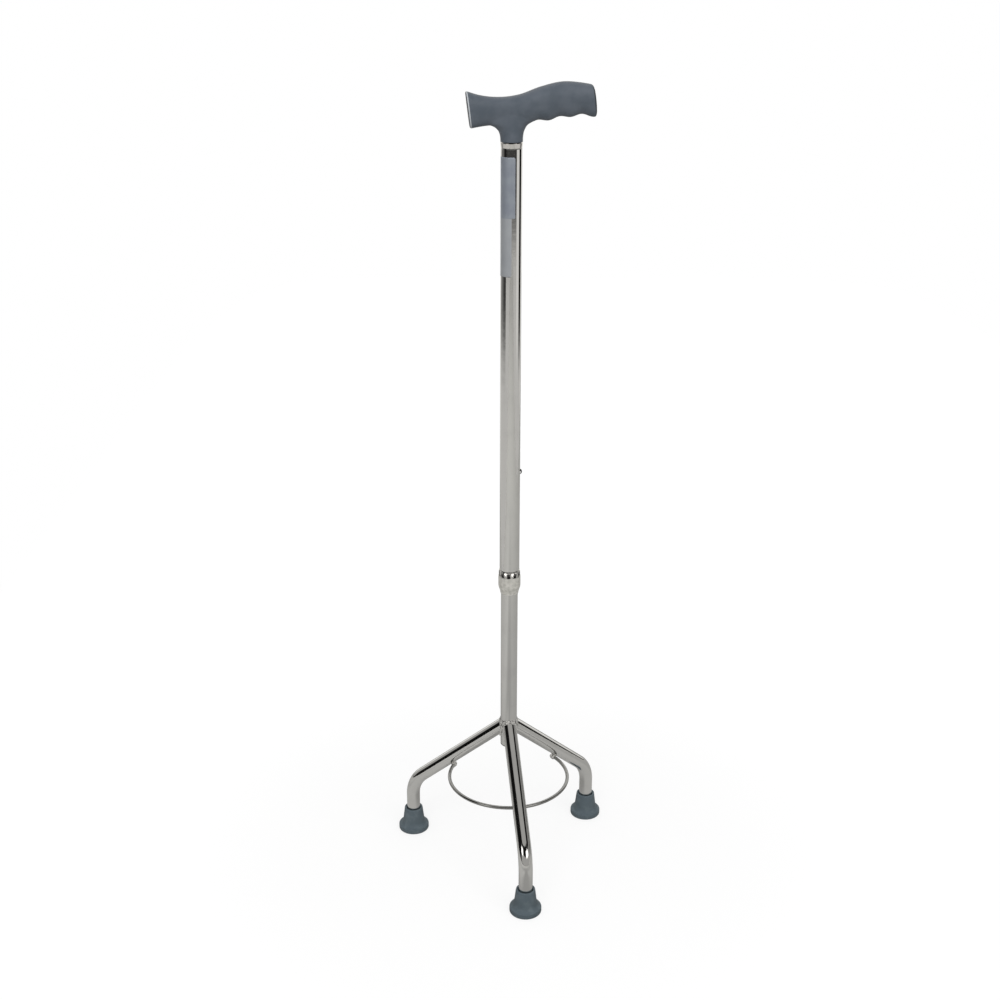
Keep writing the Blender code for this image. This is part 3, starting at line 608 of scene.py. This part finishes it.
def bulged(level):
    """The skin's radius, from level 0 at its foot to 1 at its top: a cubic superellipse."""
    u = np.clip(np.abs(2.0 * level - 1.0), 0.0, 1.0)
    return collar_r - collar_bulge * (1.0 - (1.0 - u ** 3) ** (1.0 / 3.0))


def hollows(angle, height):
    """How much the hollows take off the collar's skin at each angle and height."""
    off = (angle - hollow_turn + hollow_pitch / 2.0) % hollow_pitch - hollow_pitch / 2.0
    axis = collar_r - hollow_depth + hollow_r
    under = hollow_r ** 2 - (axis * np.sin(off)) ** 2
    start = np.where(under > 0.0, axis * np.cos(off) - np.sqrt(under.clip(0.0)), collar_r)
    level = (height - collar_low) / collar_h
    fade = np.clip((1.0 - level) / 0.14, 0.0, 1.0) * (level > -1e-6)
    return np.minimum(start - bulged(level), 0.0) * fade


level = np.linspace(1.0, 0.0, 33)
wall = np.stack([bulged(level), collar_low + collar_h * level], -1)
thread = [(upper_r - thread_depth * (i % 2), collar_low - (i + 1) * half_pitch)
          for i in range(half_turns)]
inside = [(upper_r, sleeve_low), (lower_r + fit, sleeve_low), (lower_r + fit, collar_top)]
turned("end_sleeve_skin", np.vstack([wall, thread, inside]), collar_plate, "upper_shaft",
       ["end_sleeve"], sides=288, swell=hollows, sharp=32.0)

# %% [markdown]
# The nut is a thin cup: straight above, and drawn in below by a smooth step that runs down to
# the lower tube. Inside it narrows to a cone that squeezes the collet.

# %% Lock nut
nut_r, (nut_low, nut_high) = radius_of("lock_nut"), heights_of("lock_nut")
nut_bore, lip, floor_z = upper_r + fit, lower_r + fit, nut_low + 3.6 * MM
foot_edge, step_h, round_off, bevel = 0.4 * MM, 10 * MM, 0.45 * MM, 0.12 * MM
t = np.linspace(1.0, 0.0, 22)
step_r = lip + foot_edge + (nut_r - lip - foot_edge) * t * t * (3 - 2 * t)
taper = np.stack([step_r, nut_low + step_h * t], -1)
cup = [(nut_r - round_off, nut_high), (nut_r - bevel, nut_high - bevel),
       (nut_r, nut_high - round_off), (nut_r, nut_high - 0.7 * MM)]
bore = [(lip, nut_low), (lip, floor_z), (lip + MM, floor_z), (nut_bore, floor_z + 3 * MM),
        (nut_bore, nut_high)]
turned("lock_nut_skin", np.vstack([cup, taper, bore]), blasted_nut, "lock_nut", ["lock_nut"])

# %% [markdown]
# The snap button is a small dome on a flanged shank. It is turned like the rest and then laid on
# its side by swapping the axes of its grid.

# %% Snap button
button_r, flange_r, flange_t, dome_h = 2.8 * MM, 4.0 * MM, 0.9 * MM, 2.0 * MM
button_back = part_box("snap_button")[0].x
seat = button_back + flange_t
t = np.linspace(0.0, math.pi / 2.0, 16)
dome = np.stack([button_r * np.cos(t), button_tip - dome_h + dome_h * np.sin(t)], -1)
shank = [(0.0, button_back), (flange_r, button_back), (flange_r, seat), (button_r, seat)]
grid = turned_grid(np.vstack([shank, dome]), 64, np.zeros(2))
grid = np.stack([grid[..., 2], grid[..., 1] + shaft[1], button_z - grid[..., 0]], -1)
piece("snap_button_skin", grid, button_painted_highlight_plate, "snap_button", ["snap_button"], closed_rows=True)

# %% [markdown]
# A strip of spring steel folded to a U pushes the button out. Its back arm leans on the tube's
# wall and stays. The front arm is a piece of its own and rides on no body.

# %% Button spring
spring_low, spring_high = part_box("button_spring")
strip_t, strip_w = 0.6 * MM, spring_high.y - spring_low.y
near_x, far_x = spring_high.x - strip_t / 2.0, spring_low.x + strip_t / 2.0
fold_x, fold_r = (near_x + far_x) / 2.0, (near_x - far_x) / 2.0
fold_z = spring_low.z + strip_t / 2.0 + fold_r


def strip(side):
    """Half of the U as a ribbon, from an arm's top to the middle of the fold; side is 1 or -1."""
    z = np.linspace(spring_high.z, fold_z, 40)[:-1]
    t = np.linspace(0.0, math.pi / 2.0, 14)
    x = np.concatenate([np.full_like(z, fold_r), fold_r * np.cos(t)])
    out_x, out_z = np.append(np.ones_like(z), np.cos(t)), np.append(np.zeros_like(z), -np.sin(t))
    z = np.concatenate([z, fold_z - fold_r * np.sin(t)])
    thin, wide = strip_t / 2.0, strip_w / 2.0
    corners = (thin, wide), (-thin, wide), (-thin, -wide), (thin, -wide)
    edges = [np.stack([fold_x + side * (x + d * out_x), np.full_like(x, shaft[1] + y),
                       z + d * out_z], -1) for d, y in corners]
    return capped(np.stack(edges, axis=1))


piece("button_spring_back", strip(-1.0), drawn_steel, "base", ["button_spring"])
arm = piece("button_spring_arm", strip(1.0), drawn_steel, None, ["button_spring"])
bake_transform(arm)

# %% [markdown]
# ## The legs
#
# A leg runs down a 41 degree slope, turns through 49 degrees on a 40 mm bend, and ends upright in
# its ferrule. Its centre line is two straight runs joined by an arc, with points crowded where it
# bends. The leg starts inside the lower tube, where the weld hides the joint.


# %% Leg tubes
def leg_line(x):
    """Height of the sloping part's centre line at distance x from the shaft."""
    return leg_apex_z - x * math.tan(leg_slope)


turn = math.pi / 2.0 - leg_slope
bend = np.linspace(turn, 0.0, 40)
bend_x = foot_circle_r - leg_bend_r
bend_z = leg_line(foot_circle_r) - leg_bend_r * math.tan(turn / 2.0)
slope_x = np.linspace(2.0 * MM, bend_x + leg_bend_r * math.cos(turn), 30)[:-1]
foot_z = np.linspace(bend_z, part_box("leg_front")[0].z, 13)[1:]
path_x = np.concatenate([slope_x, bend_x + leg_bend_r * np.cos(bend),
                         np.full_like(foot_z, foot_circle_r)])
path_z = np.concatenate([leg_line(slope_x), bend_z + leg_bend_r * np.sin(bend), foot_z])
for side, azimuth in leg_azimuths.items():
    path, across = about(path_x, azimuth, path_z), (-math.sin(azimuth), math.cos(azimuth), 0.0)
    outside = swept_grid(path, leg_r, across, 96)
    inside = swept_grid(path, leg_r - tube_wall, across, 96)[::-1]
    piece(f"leg_{side}_skin", np.vstack([outside, inside]), chrome, "base", [f"leg_{side}"],
          closed_rows=True)

# %% [markdown]
# ## Welds
#
# The bead round the leg tops follows the line where a slightly fatter leg would enter the tube.
# Its skin runs out from the tube in a few steps. A welder lays it down in small overlapping
# puddles, so its radius swells and sinks along the way; a wave along the azimuth gives that.


# %% Leg weld
def weld_edge(radius, off, fatter, sign):
    """Height at which a leg, `fatter` larger in radius, crosses a cylinder of this radius."""
    half = np.sqrt(np.maximum((leg_r + fatter) ** 2 - (radius * np.sin(off)) ** 2, least ** 2))
    return leg_line(radius * np.cos(off)) + sign * half / math.cos(leg_slope)


bead, sunk, least = 1.9 * MM, 0.2 * MM, 1.5 * MM
third = 2.0 * math.pi / 3.0
azimuth = once_round(540)
off = (azimuth + math.pi / 2.0 + third / 2.0) % third - third / 2.0
puddle = 0.22 * MM * (np.abs(np.sin(azimuth * 27.0 + 0.6 * np.sin(azimuth * 5.0))) - 0.5)
t = np.linspace(0.0, 1.0, 9)[:, None]
bead_r = lower_r - sunk + bead * np.sin(t * math.pi / 2.0)
fatter = bead * np.cos(t * math.pi / 2.0) + puddle * np.sin(t * math.pi)
ring = bead_r + 0.5 * puddle * np.sin(t * math.pi)
upper, under = (about(ring, azimuth, weld_edge(bead_r, off, fatter, sign)) for sign in (1, -1))
piece("leg_welds_skin", np.vstack([upper, under[::-1]]), weld_chrome, "base", ["leg_welds"],
      closed_rows=True, sharp=60.0)

# %% [markdown]
# ## The brace
#
# One piece of 4 mm wire is bent to a bow and welded under the three legs. Its ends are rounded
# where they were cropped, just past the rear legs. Each weld is a lump of a few millimetres: a
# ball whose surface is pushed in and out by a sum of sines.

# %% Brace wire
wire_r = (heights_of("brace_wire")[1] - heights_of("brace_wire")[0]) / 2.0
past, round_end = 5.0 * MM / brace_r, 0.8 * MM
full_turn = 2.0 * math.pi
angle = np.linspace(leg_azimuths["left"] - past, leg_azimuths["right"] + full_turn + past, 260)
length = (angle - angle[0]) * brace_r
to_end = np.minimum(length, length[-1] - length)
thick = wire_r * np.sqrt(np.clip(1.0 - (1.0 - to_end / round_end).clip(0.0) ** 2, 0.0, 1.0))
grid = swept_grid(about(brace_r, angle, brace_z), thick, (0.0, 0.0, 1.0), 32)
piece("brace_wire_skin", grid, wire_chrome_painted_dark, "base", ["brace_wire"])


# %% Brace welds
def lump(azimuth, seed):
    """A ball 7 by 9 by 6.6 mm, its 9 along the wire, roughened by sines of its own directions."""
    u, v = np.linspace(0.0, math.pi, 33)[:, None], once_round(64)
    x, y, z = np.broadcast_arrays(np.sin(u) * np.cos(v), np.sin(u) * np.sin(v), np.cos(u))
    rough = 0.07 * np.sin(5 * x + seed) * np.sin(6 * y + 2 * seed)
    rough = rough + 0.04 * np.sin(9 * z + 7 * x + seed)
    x, y, z = (axis * (1.0 + rough) for axis in (3.5 * MM * x, 4.5 * MM * y, 3.3 * MM * z))
    c, s = math.cos(leg_slope), math.sin(leg_slope)
    out, up = c * x + s * z + brace_r, -s * x + c * z + brace_z
    c, s = math.cos(azimuth), math.sin(azimuth)
    return np.stack([out * c - y * s, shaft[1] + out * s + y * c, up], -1)


for seed, (side, azimuth) in enumerate(leg_azimuths.items()):
    piece(f"brace_weld_{side}_skin", lump(azimuth, seed), weld_chrome, "base",
          [f"brace_weld_{side}"])

# %% [markdown]
# ## Ferrules
#
# A ferrule is one rubber moulding. From the floor up it has a grooved pad with a rounded edge, a
# concave shoulder, a neck that tapers to the rim, and the socket that the leg stands in. The
# rim's inner edge is opened a little, and that is the dark line seen round each leg.

# %% Ferrules
pad_r, ferrule_h = radius_of("ferrule_front"), heights_of("ferrule_front")[1]
pad_h, low_round, high_round = 7.0 * MM, 1.6 * MM, 1.3 * MM
groove_depth, slant = 1.2 * MM, 0.3 * MM
socket_r, socket_floor = leg_r + fit, 6.0 * MM
waist, rim = socket_r + 4.6 * MM, socket_r + 2.7 * MM


def ferrule_section():
    """Closed section: floor grooves, rounded pad edge, shoulder curve, neck, rim and socket."""
    t = np.linspace(0.0, math.pi / 2.0, 8)
    grooves = [(0.0, 0.0)]
    for share in (0.30, 0.55, 0.78):
        inner, outer = share * pad_r, (share + 0.10) * pad_r
        grooves += [(inner, 0.0), (inner + slant, groove_depth), (outer - slant, groove_depth),
                    (outer, 0.0)]
    low = np.stack([pad_r - low_round + low_round * np.sin(t),
                    low_round - low_round * np.cos(t)], -1)
    high = np.stack([pad_r - high_round + high_round * np.cos(t),
                     pad_h - high_round + high_round * np.sin(t)], -1)
    start, end = np.array([pad_r - high_round, pad_h]), np.array([waist, pad_h + 6.4 * MM])
    knee = np.array([waist + 0.4 * MM, pad_h + 0.9 * MM])
    s = np.linspace(0.0, 1.0, 14)[1:, None]
    shoulder = (1 - s) ** 2 * start + 2 * s * (1 - s) * knee + s ** 2 * end
    neck = [(rim + 0.05 * MM, ferrule_h - 1.4 * MM), (rim - 0.15 * MM, ferrule_h - 0.5 * MM),
            (rim - 0.7 * MM, ferrule_h)]
    socket = [(socket_r + 1.0 * MM, ferrule_h), (socket_r + 0.35 * MM, ferrule_h - 0.7 * MM),
              (socket_r, ferrule_h - 1.6 * MM), (socket_r, socket_floor), (0.0, socket_floor)]
    return np.vstack([grooves, low, high, shoulder, neck, socket])


for side, azimuth in leg_azimuths.items():
    turned(f"ferrule_{side}_skin", ferrule_section(), ferrule_rubber, "base", [f"ferrule_{side}"],
           sides=96, centre=about(foot_circle_r, azimuth, 0.0)[:2], sharp=50.0)

# %% [markdown]
# ## The handle
#
# The grip is a loft. Along it, smooth curves give the height of its back and of its underside and
# its half width, and each section is a soft oval between them. The underside adds a cosine for
# the finger grooves. The neck is a second loft that starts round and flares into the grip, up to
# the grip's widest height, so that their flanks meet without a crease. The two are fused by a
# voxel remesh and relaxed a little, which leaves the moulding's soft root between them. Relaxing
# rounds the foot too, so the neck starts 2 mm low and is then cut off flat at the trim ring.


# %% Handle curves
def through(points, x):
    """A smooth curve through (x, value) points; each point's slope is that of its neighbours."""
    at, value = np.array(points, float).T
    slope = np.gradient(value, at)
    i = np.clip(np.searchsorted(at, x) - 1, 0, len(at) - 2)
    span = at[i + 1] - at[i]
    t = np.clip((x - at[i]) / span, 0.0, 1.0)
    return ((1 + 2 * t) * (1 - t) ** 2 * value[i] + t * (1 - t) ** 2 * span * slope[i]
            + t * t * (3 - 2 * t) * value[i + 1] + t * t * (t - 1) * span * slope[i + 1])


# Distances along the grip and heights above the neck's foot, in mm; widths are shares of 13.8 mm.
back_curve = [(-46, 50.6), (-31, 46.0), (-12, 43.9), (9, 46.0), (32, 53.4), (57, 58.2),
              (74, 56.9), (88, 54.4)]
keel_curve = [(-46, 13.2), (-28, 15.9), (-10, 16.5), (20, 19.2), (36, 21.4), (72, 24.9),
              (88, 23.6)]
width_curve = [(-46, 0.84), (-24, 0.80), (0, 0.88), (45, 1.0), (70, 0.99), (88, 0.90)]
nose, tail, edge, grip_half = -43.8, 84.0, 1.5, 13.8
finger_pitch, finger_wave, first_finger = 23.0, 1.2, 24.5


def grip_grid(stations=200, sides=96):
    """Sections of a soft oval (a superellipse) on leaning planes, drawn in over a round edge."""
    s = np.linspace(nose - edge, tail + edge, stations)
    near_end = np.minimum(s - (nose - edge), (tail + edge) - s).clip(0.0, edge)
    shrink = edge - np.sqrt((edge ** 2 - (edge - near_end) ** 2).clip(0.0))
    fingers = np.clip((s - 12.0) / 12.0, 0.0, 1.0) * finger_wave
    wave = np.cos(2.0 * math.pi * (s - first_finger) / finger_pitch)
    low = through(keel_curve, s) + fingers * wave + shrink
    high = through(back_curve, s) - shrink
    half_width = grip_half * through(width_curve, s) - shrink
    turn = once_round(sides)
    up = np.sign(np.sin(turn)) * np.abs(np.sin(turn)) ** 0.8
    side = np.sign(np.cos(turn)) * np.abs(np.cos(turn)) ** 0.8
    z = (low + high)[:, None] / 2.0 + (high - low)[:, None] / 2.0 * up
    y = half_width[:, None] * side * (1.0 - 0.10 * np.clip(-up, 0.0, 1.0))
    turned_end = nose_turn * y * np.clip((-20.0 - s[:, None]) / 20.0, 0.0, 1.0)
    x = s[:, None] - lean * (z - lean_from) + turned_end
    return capped(np.stack([MM * x, shaft[1] + MM * y, neck_z + MM * z], -1))


def neck_grid(levels=80, sides=96):
    """Ovals stacked upwards: round at the foot, reaching out along X as they rise."""
    z = np.linspace(-2.0, 32.0, levels)
    ahead = through([(0, 11.5), (5, 11.6), (12, 13.4), (17, 17.2), (20, 23.0), (22, 28.0),
                     (24, 30.0), (32, 30.0)], z)
    behind = through([(0, 11.5), (3, 11.6), (7, 12.3), (12, 15.0), (15, 19.2), (17, 24.5),
                      (19, 29.0), (24, 32.0), (32, 32.0)], z)
    width = 11.5 * through([(0, 1.0), (8, 1.0), (20, 1.0), (26, 1.015), (32, 1.02)], z)
    turn = once_round(sides)
    x = np.where(np.cos(turn) < 0.0, behind[:, None], ahead[:, None]) * np.cos(turn)
    y = width[:, None] * np.sin(turn)
    z = np.broadcast_to(z[:, None], x.shape)
    return capped(np.stack([MM * x, shaft[1] + MM * y, neck_z + MM * z], -1))


# %% Fuse and relax the handle
grip = piece("handle_skin", grip_grid(), moulded_handle, None, sharp=60.0)
neck = piece("neck_loft", neck_grid(), moulded_handle, None, sharp=60.0)
bm = bmesh.new()
bm.from_mesh(grip.data)
bm.from_mesh(neck.data)
bm.to_mesh(grip.data)
bm.free()
bpy.data.objects.remove(neck, do_unlink=True)
fuse = grip.modifiers.new("fuse", "REMESH")
fuse.mode, fuse.voxel_size, fuse.use_smooth_shade = "VOXEL", 0.6 * MM, True
relax = grip.modifiers.new("relax", "SMOOTH")
relax.factor, relax.iterations = 0.5, 16
applied(grip)
bm = bmesh.new()
bm.from_mesh(grip.data)
whole = bm.verts[:] + bm.edges[:] + bm.faces[:]
foot = bmesh.ops.bisect_plane(bm, geom=whole, plane_co=(0.0, 0.0, neck_z),
                              plane_no=(0.0, 0.0, 1.0), clear_inner=True)["geom_cut"]
rim_edges = [part for part in foot if isinstance(part, bmesh.types.BMEdge)]
bmesh.ops.contextual_create(bm, geom=rim_edges)
bm.to_mesh(grip.data)
bm.free()
grip.data.set_sharp_from_angle(angle=math.radians(60.0))
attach(grip, "upper_shaft")
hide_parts("handle_grip")
print("fused handle:", len(grip.data.polygons), "faces")

# %% [markdown]
# The stem is the part of the moulding that goes down into the tube, bored for its steel core. The
# trim ring widens upwards by half a millimetre. That little is enough to lean its reflection
# from the dark of the room down to the pale table, so the band shines. The steep bevel over it
# mirrors the black between and above the windows, which draws the dark line there.

# %% Stem and trim ring
stem_r, core_r = upper_r - 1.5 * MM, 6.3 * MM
stem_high, stem_low = neck_z - 0.1 * MM, neck_z - 54 * MM
stem = [(stem_r, stem_high), (stem_r, stem_low), (core_r, stem_low), (core_r, stem_high)]
turned("handle_stem_skin", softened(stem, 0.5 * MM, 4), moulded_handle, "upper_shaft",
       ["handle_grip"], sides=96)
ring_low, ring_high = heights_of("trim_ring")
lip_r, bore_r, ring_edge = radius_of("trim_ring"), stem_r + fit, 0.4 * MM
band = [(bore_r, ring_high), (lip_r - 0.55 * MM, ring_high), (lip_r, ring_high - 1.1 * MM),
        (upper_r, ring_low + ring_edge), (upper_r - ring_edge, ring_low), (bore_r, ring_low)]
turned("trim_ring_skin", softened(band, 0.15 * MM, 4), bright_chrome, "upper_shaft",
       ["trim_ring"], sides=192)

# %% [markdown]
# ## The film
#
# A silvery film is wrapped round the upper tube on the side away from the palm. Its upper half
# reaches further round than its lower half. It stays bare. The grid runs round the tube one way
# and down it the other, and the step in its outline is two rows a hair apart.

# %% Film
film_r, corner_r, hair = upper_r + 0.05 * MM, 1.5 * MM, 0.3
z = MM * np.concatenate([np.linspace(film_top, film_step + hair, 40),
                         np.linspace(film_step, film_foot, 40)])
wide = z > (film_step + hair / 2.0) * MM
start = np.radians(np.where(wide, -285.0, -268.0))
end = np.radians(np.where(wide, -78.0, -97.0))
corner = np.minimum(film_top * MM - z, z - film_foot * MM).clip(0.0, corner_r) / corner_r
inset = (1.0 - np.sqrt(1.0 - (1.0 - corner) ** 2)) * corner_r / film_r
share = np.linspace(0.0, 1.0, 160)[None, :]
around = (start + inset)[:, None] + share * (end - start - 2 * inset)[:, None]
film = piece("bare_film", about(film_r, around, z[:, None]), silver_film, "upper_shaft",
             closed_columns=False)
shell = film.modifiers.new("thickness", "SOLIDIFY")
shell.thickness, shell.offset = 0.04 * MM, 0.0

# %% [markdown]
# ## Studio
#
# The photograph is a cut-out on white, but the chrome still shows the room it stood in. Each spot
# of a tube mirrors one direction, so the bright and dark stripes can be read back as a map:
#
# - below, a table, paler to the left and right and beside the feet, with a pale floor past it;
# - from 10 to 15 degrees below the horizon up to it, nearly black, with a bright patch on the
#   right and a half-dark one far round on the left;
# - grey walls, darker on the right, two windows to the left and right of the camera, and black
#   between the windows, above them and beside the right one;
# - a dark doorway on the left and a low dark gap on the right, and white paper behind.
#
# The world paints that map for mirrors, in degrees of azimuth (0 at the camera, positive to its
# right) and elevation. To the camera it is plain white. Matt surfaces get a plain soft light,
# stronger from the camera's side and weaker from the left and right.

# %% Directions of the photograph
photo_turn = 0.15849


def from_photo(x, y):
    """A direction across (x) and away (y) in the photograph, as x and y of the row frame."""
    c, s = math.cos(-photo_turn), math.sin(-photo_turn)
    return c * x - s * y, s * x + c * y


world = bpy.data.worlds.new("studio_room")
bpy.context.scene.world = world
net = Network(world)
direction = net.node("ShaderNodeTexCoord", out="Generated")


def facing(x, y):
    """Cosine between the looked-at direction and a level direction of the photograph."""
    sockets = {0: direction, 1: (*from_photo(x, y), 0.0)}
    return net.node("ShaderNodeVectorMath", sockets, out="Value", operation="DOT_PRODUCT")


height, to_right, to_camera = direction.axis(2), facing(1.0, 0.0), facing(0.0, -1.0)
degrees = 180.0 / math.pi
azimuth = degrees * to_right.maths("ARCTAN2", to_camera)
elevation = degrees * height.maths("ARCSINE")
print("the photograph is turned by", round(degrees * photo_turn, 1), "degrees")

# %% [markdown]
# A zone of the map is a range of elevations times a range of azimuths, each as (from, to, how
# soft its borders are). The black ones lie over the rest, and where two meet the darker counts.

# %% The room as a map
black_zones = [((38, 52, 2), (-100, 58, 6)),      # above the windows
               ((24, 52, 2), (-28, 16, 4)),       # between them
               ((28, 49, 2), (58, 100, 3)),       # beside the right one
               ((-6, 56, 2), (-100, -57, 4)),     # the doorway
               ((-13, 0, 2), (-72, -57, 4)),      # its threshold
               ((-15, 6, 2), (98, 121, 3))]       # the gap on the right
zones = [elevation.within(*high) * azimuth.within(*wide) for high, wide in black_zones]
black = zones[0]
for zone in zones[1:]:
    black = black | zone
far = 0.045 + 0.67 * azimuth.within(58, 92, 4) + 0.13 * azimuth.within(-135, -92, 5)
above_floor = elevation - 4.2 * azimuth.within(-57, 58, 3)
beyond = net.mix(above_floor.between(-17, -14), 0.54, far)
walls = 0.38 - 0.13 * azimuth.within(75, 125, 8) * elevation.within(8, 52, 4)
windows = 1.7 * (azimuth.within(-66, -34, 4) + azimuth.within(24, 60, 4))
grey = net.mix(elevation.between(-3, 0), beyond, walls) + windows * elevation.within(19, 38, 2)
grey = grey * (1 - 0.985 * black)
grey = net.mix(1 - azimuth.within(-134, 128, 5), grey, 0.85)
room = net.node("ShaderNodeCombineColor", {0: grey, 1: 0.985 * grey, 2: 0.955 * grey})
soft = 0.505 + 0.02 * height.between(-0.2, 1.0) + 0.26 * to_camera.between(0.0, 1.0)
soft = soft * (1 - 0.30 * (to_right * to_right).between(0.35, 0.95))
soft = net.node("ShaderNodeCombineColor", {0: soft, 1: soft, 2: soft})
seen = net.blend(net.node("ShaderNodeLightPath", out="Is Diffuse Ray"), room, soft)
seen = net.blend(net.node("ShaderNodeLightPath", out="Is Camera Ray"), seen, (1.0, 1.0, 1.0, 1.0))
background = net.node("ShaderNodeBackground", {"Color": seen, "Strength": 1.0})
net.node("ShaderNodeOutputWorld", {"Surface": background})
print("the room has", len(black_zones), "black zones and", len(net.nodes), "nodes")

# %% [markdown]
# The table is a real matt surface for everything but the camera. The camera sees it as white
# paper on which the cane's shadow stays, and further out the paper glows into the white backdrop.
# Its left and right edges are near: past them a leg mirrors the dark of the room, which draws the
# black stripe along its upper side. The tubes and feet mirror the table's own tones, so it is
# paler to the left and right, and in two patches beside the feet. The outline is a superellipse,
# r = (|cos/a|^8 + |sin/b|^8)^(-1/8): a rectangle with soft corners.

# %% Table
net, place = begin("pale_table")
from_middle = net.node("ShaderNodeVectorMath", {0: place}, out="Value", operation="LENGTH")
across = place.axis(0)
leftward, rightward = 1 - across.between(-0.42, -0.12), across.between(0.03, 0.25)
beside = 0.95 * (1 - across.between(-0.09, -0.03)) + 0.75 * across.between(0.03, 0.09)
beside = beside * (1 - from_middle.between(0.22, 0.40))
paler = (leftward + 0.4 * rightward) | beside
near = net.blend(paler, (0.378, 0.375, 0.364, 1.0), (0.565, 0.56, 0.543, 1.0))
tone = net.blend(from_middle.between(0.35, 1.3), near, (0.55, 0.545, 0.52, 1.0))
matt = net.node("ShaderNodeBsdfDiffuse", {"Color": tone})
paper = net.node("ShaderNodeBsdfDiffuse", {"Color": (0.95, 0.95, 0.95, 1.0)})
white = net.node("ShaderNodeEmission", {"Color": (1.0, 1.0, 1.0, 1.0), "Strength": 1.035})
shadow_share = 0.24 - 0.20 * from_middle.between(0.20, 0.60)
shown = net.node("ShaderNodeMixShader", {0: shadow_share, 1: white, 2: paper})
to_eye = net.node("ShaderNodeLightPath", out="Is Camera Ray")
table_top = net.node("ShaderNodeMixShader", {0: to_eye, 1: matt, 2: shown})
net.node("ShaderNodeOutputMaterial", {"Surface": table_top})

half_width, half_depth, middle_x = 1.075, 3.1, 0.225
angle = once_round(180)
outline = np.abs(np.cos(angle) / half_width) ** 8 + np.abs(np.sin(angle) / half_depth) ** 8
radius = np.linspace(0.0, 1.0, 24)[:, None] * outline ** (-1.0 / 8.0)
x, y = from_photo(middle_x + radius * np.cos(angle), radius * np.sin(angle))
grid = np.stack([x, y, np.full_like(x, -0.2 * MM)], -1)
floor = piece("table_top", grid, net.owner, None)

# %% [markdown]
# Two large soft lamps hang on the camera's side. Mirrors don't see them, because the world
# already has the windows that the chrome shows.


# %% Lamps
def soft_lamp(name, x, y, z, size, watts):
    """A square lamp aimed at the middle of the cane, placed in the photograph's directions."""
    light = bpy.data.lights.new(name, "AREA")
    light.size, light.energy = size, watts
    lamp = put(name, light)
    px, py = from_photo(x, y)
    lamp.location = (px, py, z)
    aim = np.array([px, py, z]) - np.array([0.0, 0.0, 0.45])
    lamp.rotation_euler = (math.acos(aim[2] / np.linalg.norm(aim)), 0.0,
                           math.atan2(aim[0], -aim[1]))
    lamp.visible_glossy = False
    print(name, watts, "W")


soft_lamp("key_lamp", -0.5, -1.9, 2.1, 1.4, 23.0)
soft_lamp("fill_lamp", 0.9, -1.0, 2.2, 1.4, 11.0)

# %% [markdown]
# ## Camera
#
# The camera was found by fitting a pin-hole model to the photograph: where it stood, how it was
# tilted and how long its lens was. Its position is given in the photograph's directions, measured
# from the foot of the shaft.

# %% Camera
pitch, roll, yaw, focal_px = 0.371053, 0.002646, -0.0040886, 1512.21
aside, away, camera_z = -4.5 * MM, -1560.248 * MM, 1060.596 * MM
sensor, frame_px = 36.0, 1000.0
lens = bpy.data.cameras.new("photo_camera")
lens.sensor_width, lens.lens = sensor, sensor * focal_px / frame_px
lens.clip_start, lens.clip_end = 0.05, 20.0
camera = put("photo_camera", lens)
px, py = from_photo(aside, away)
stand = Matrix.Translation((px, py + shaft[1], camera_z))
aim = Matrix.Rotation(-yaw - photo_turn, 4, "Z") @ Matrix.Rotation(math.pi / 2.0 - pitch, 4, "X")
camera.matrix_world = stand @ aim @ Matrix.Rotation(roll, 4, "Z")
bpy.context.scene.camera = camera
bpy.context.scene.view_settings.view_transform = "Standard"
print("lens:", round(lens.lens, 1), "mm on a", sensor, "mm sensor")
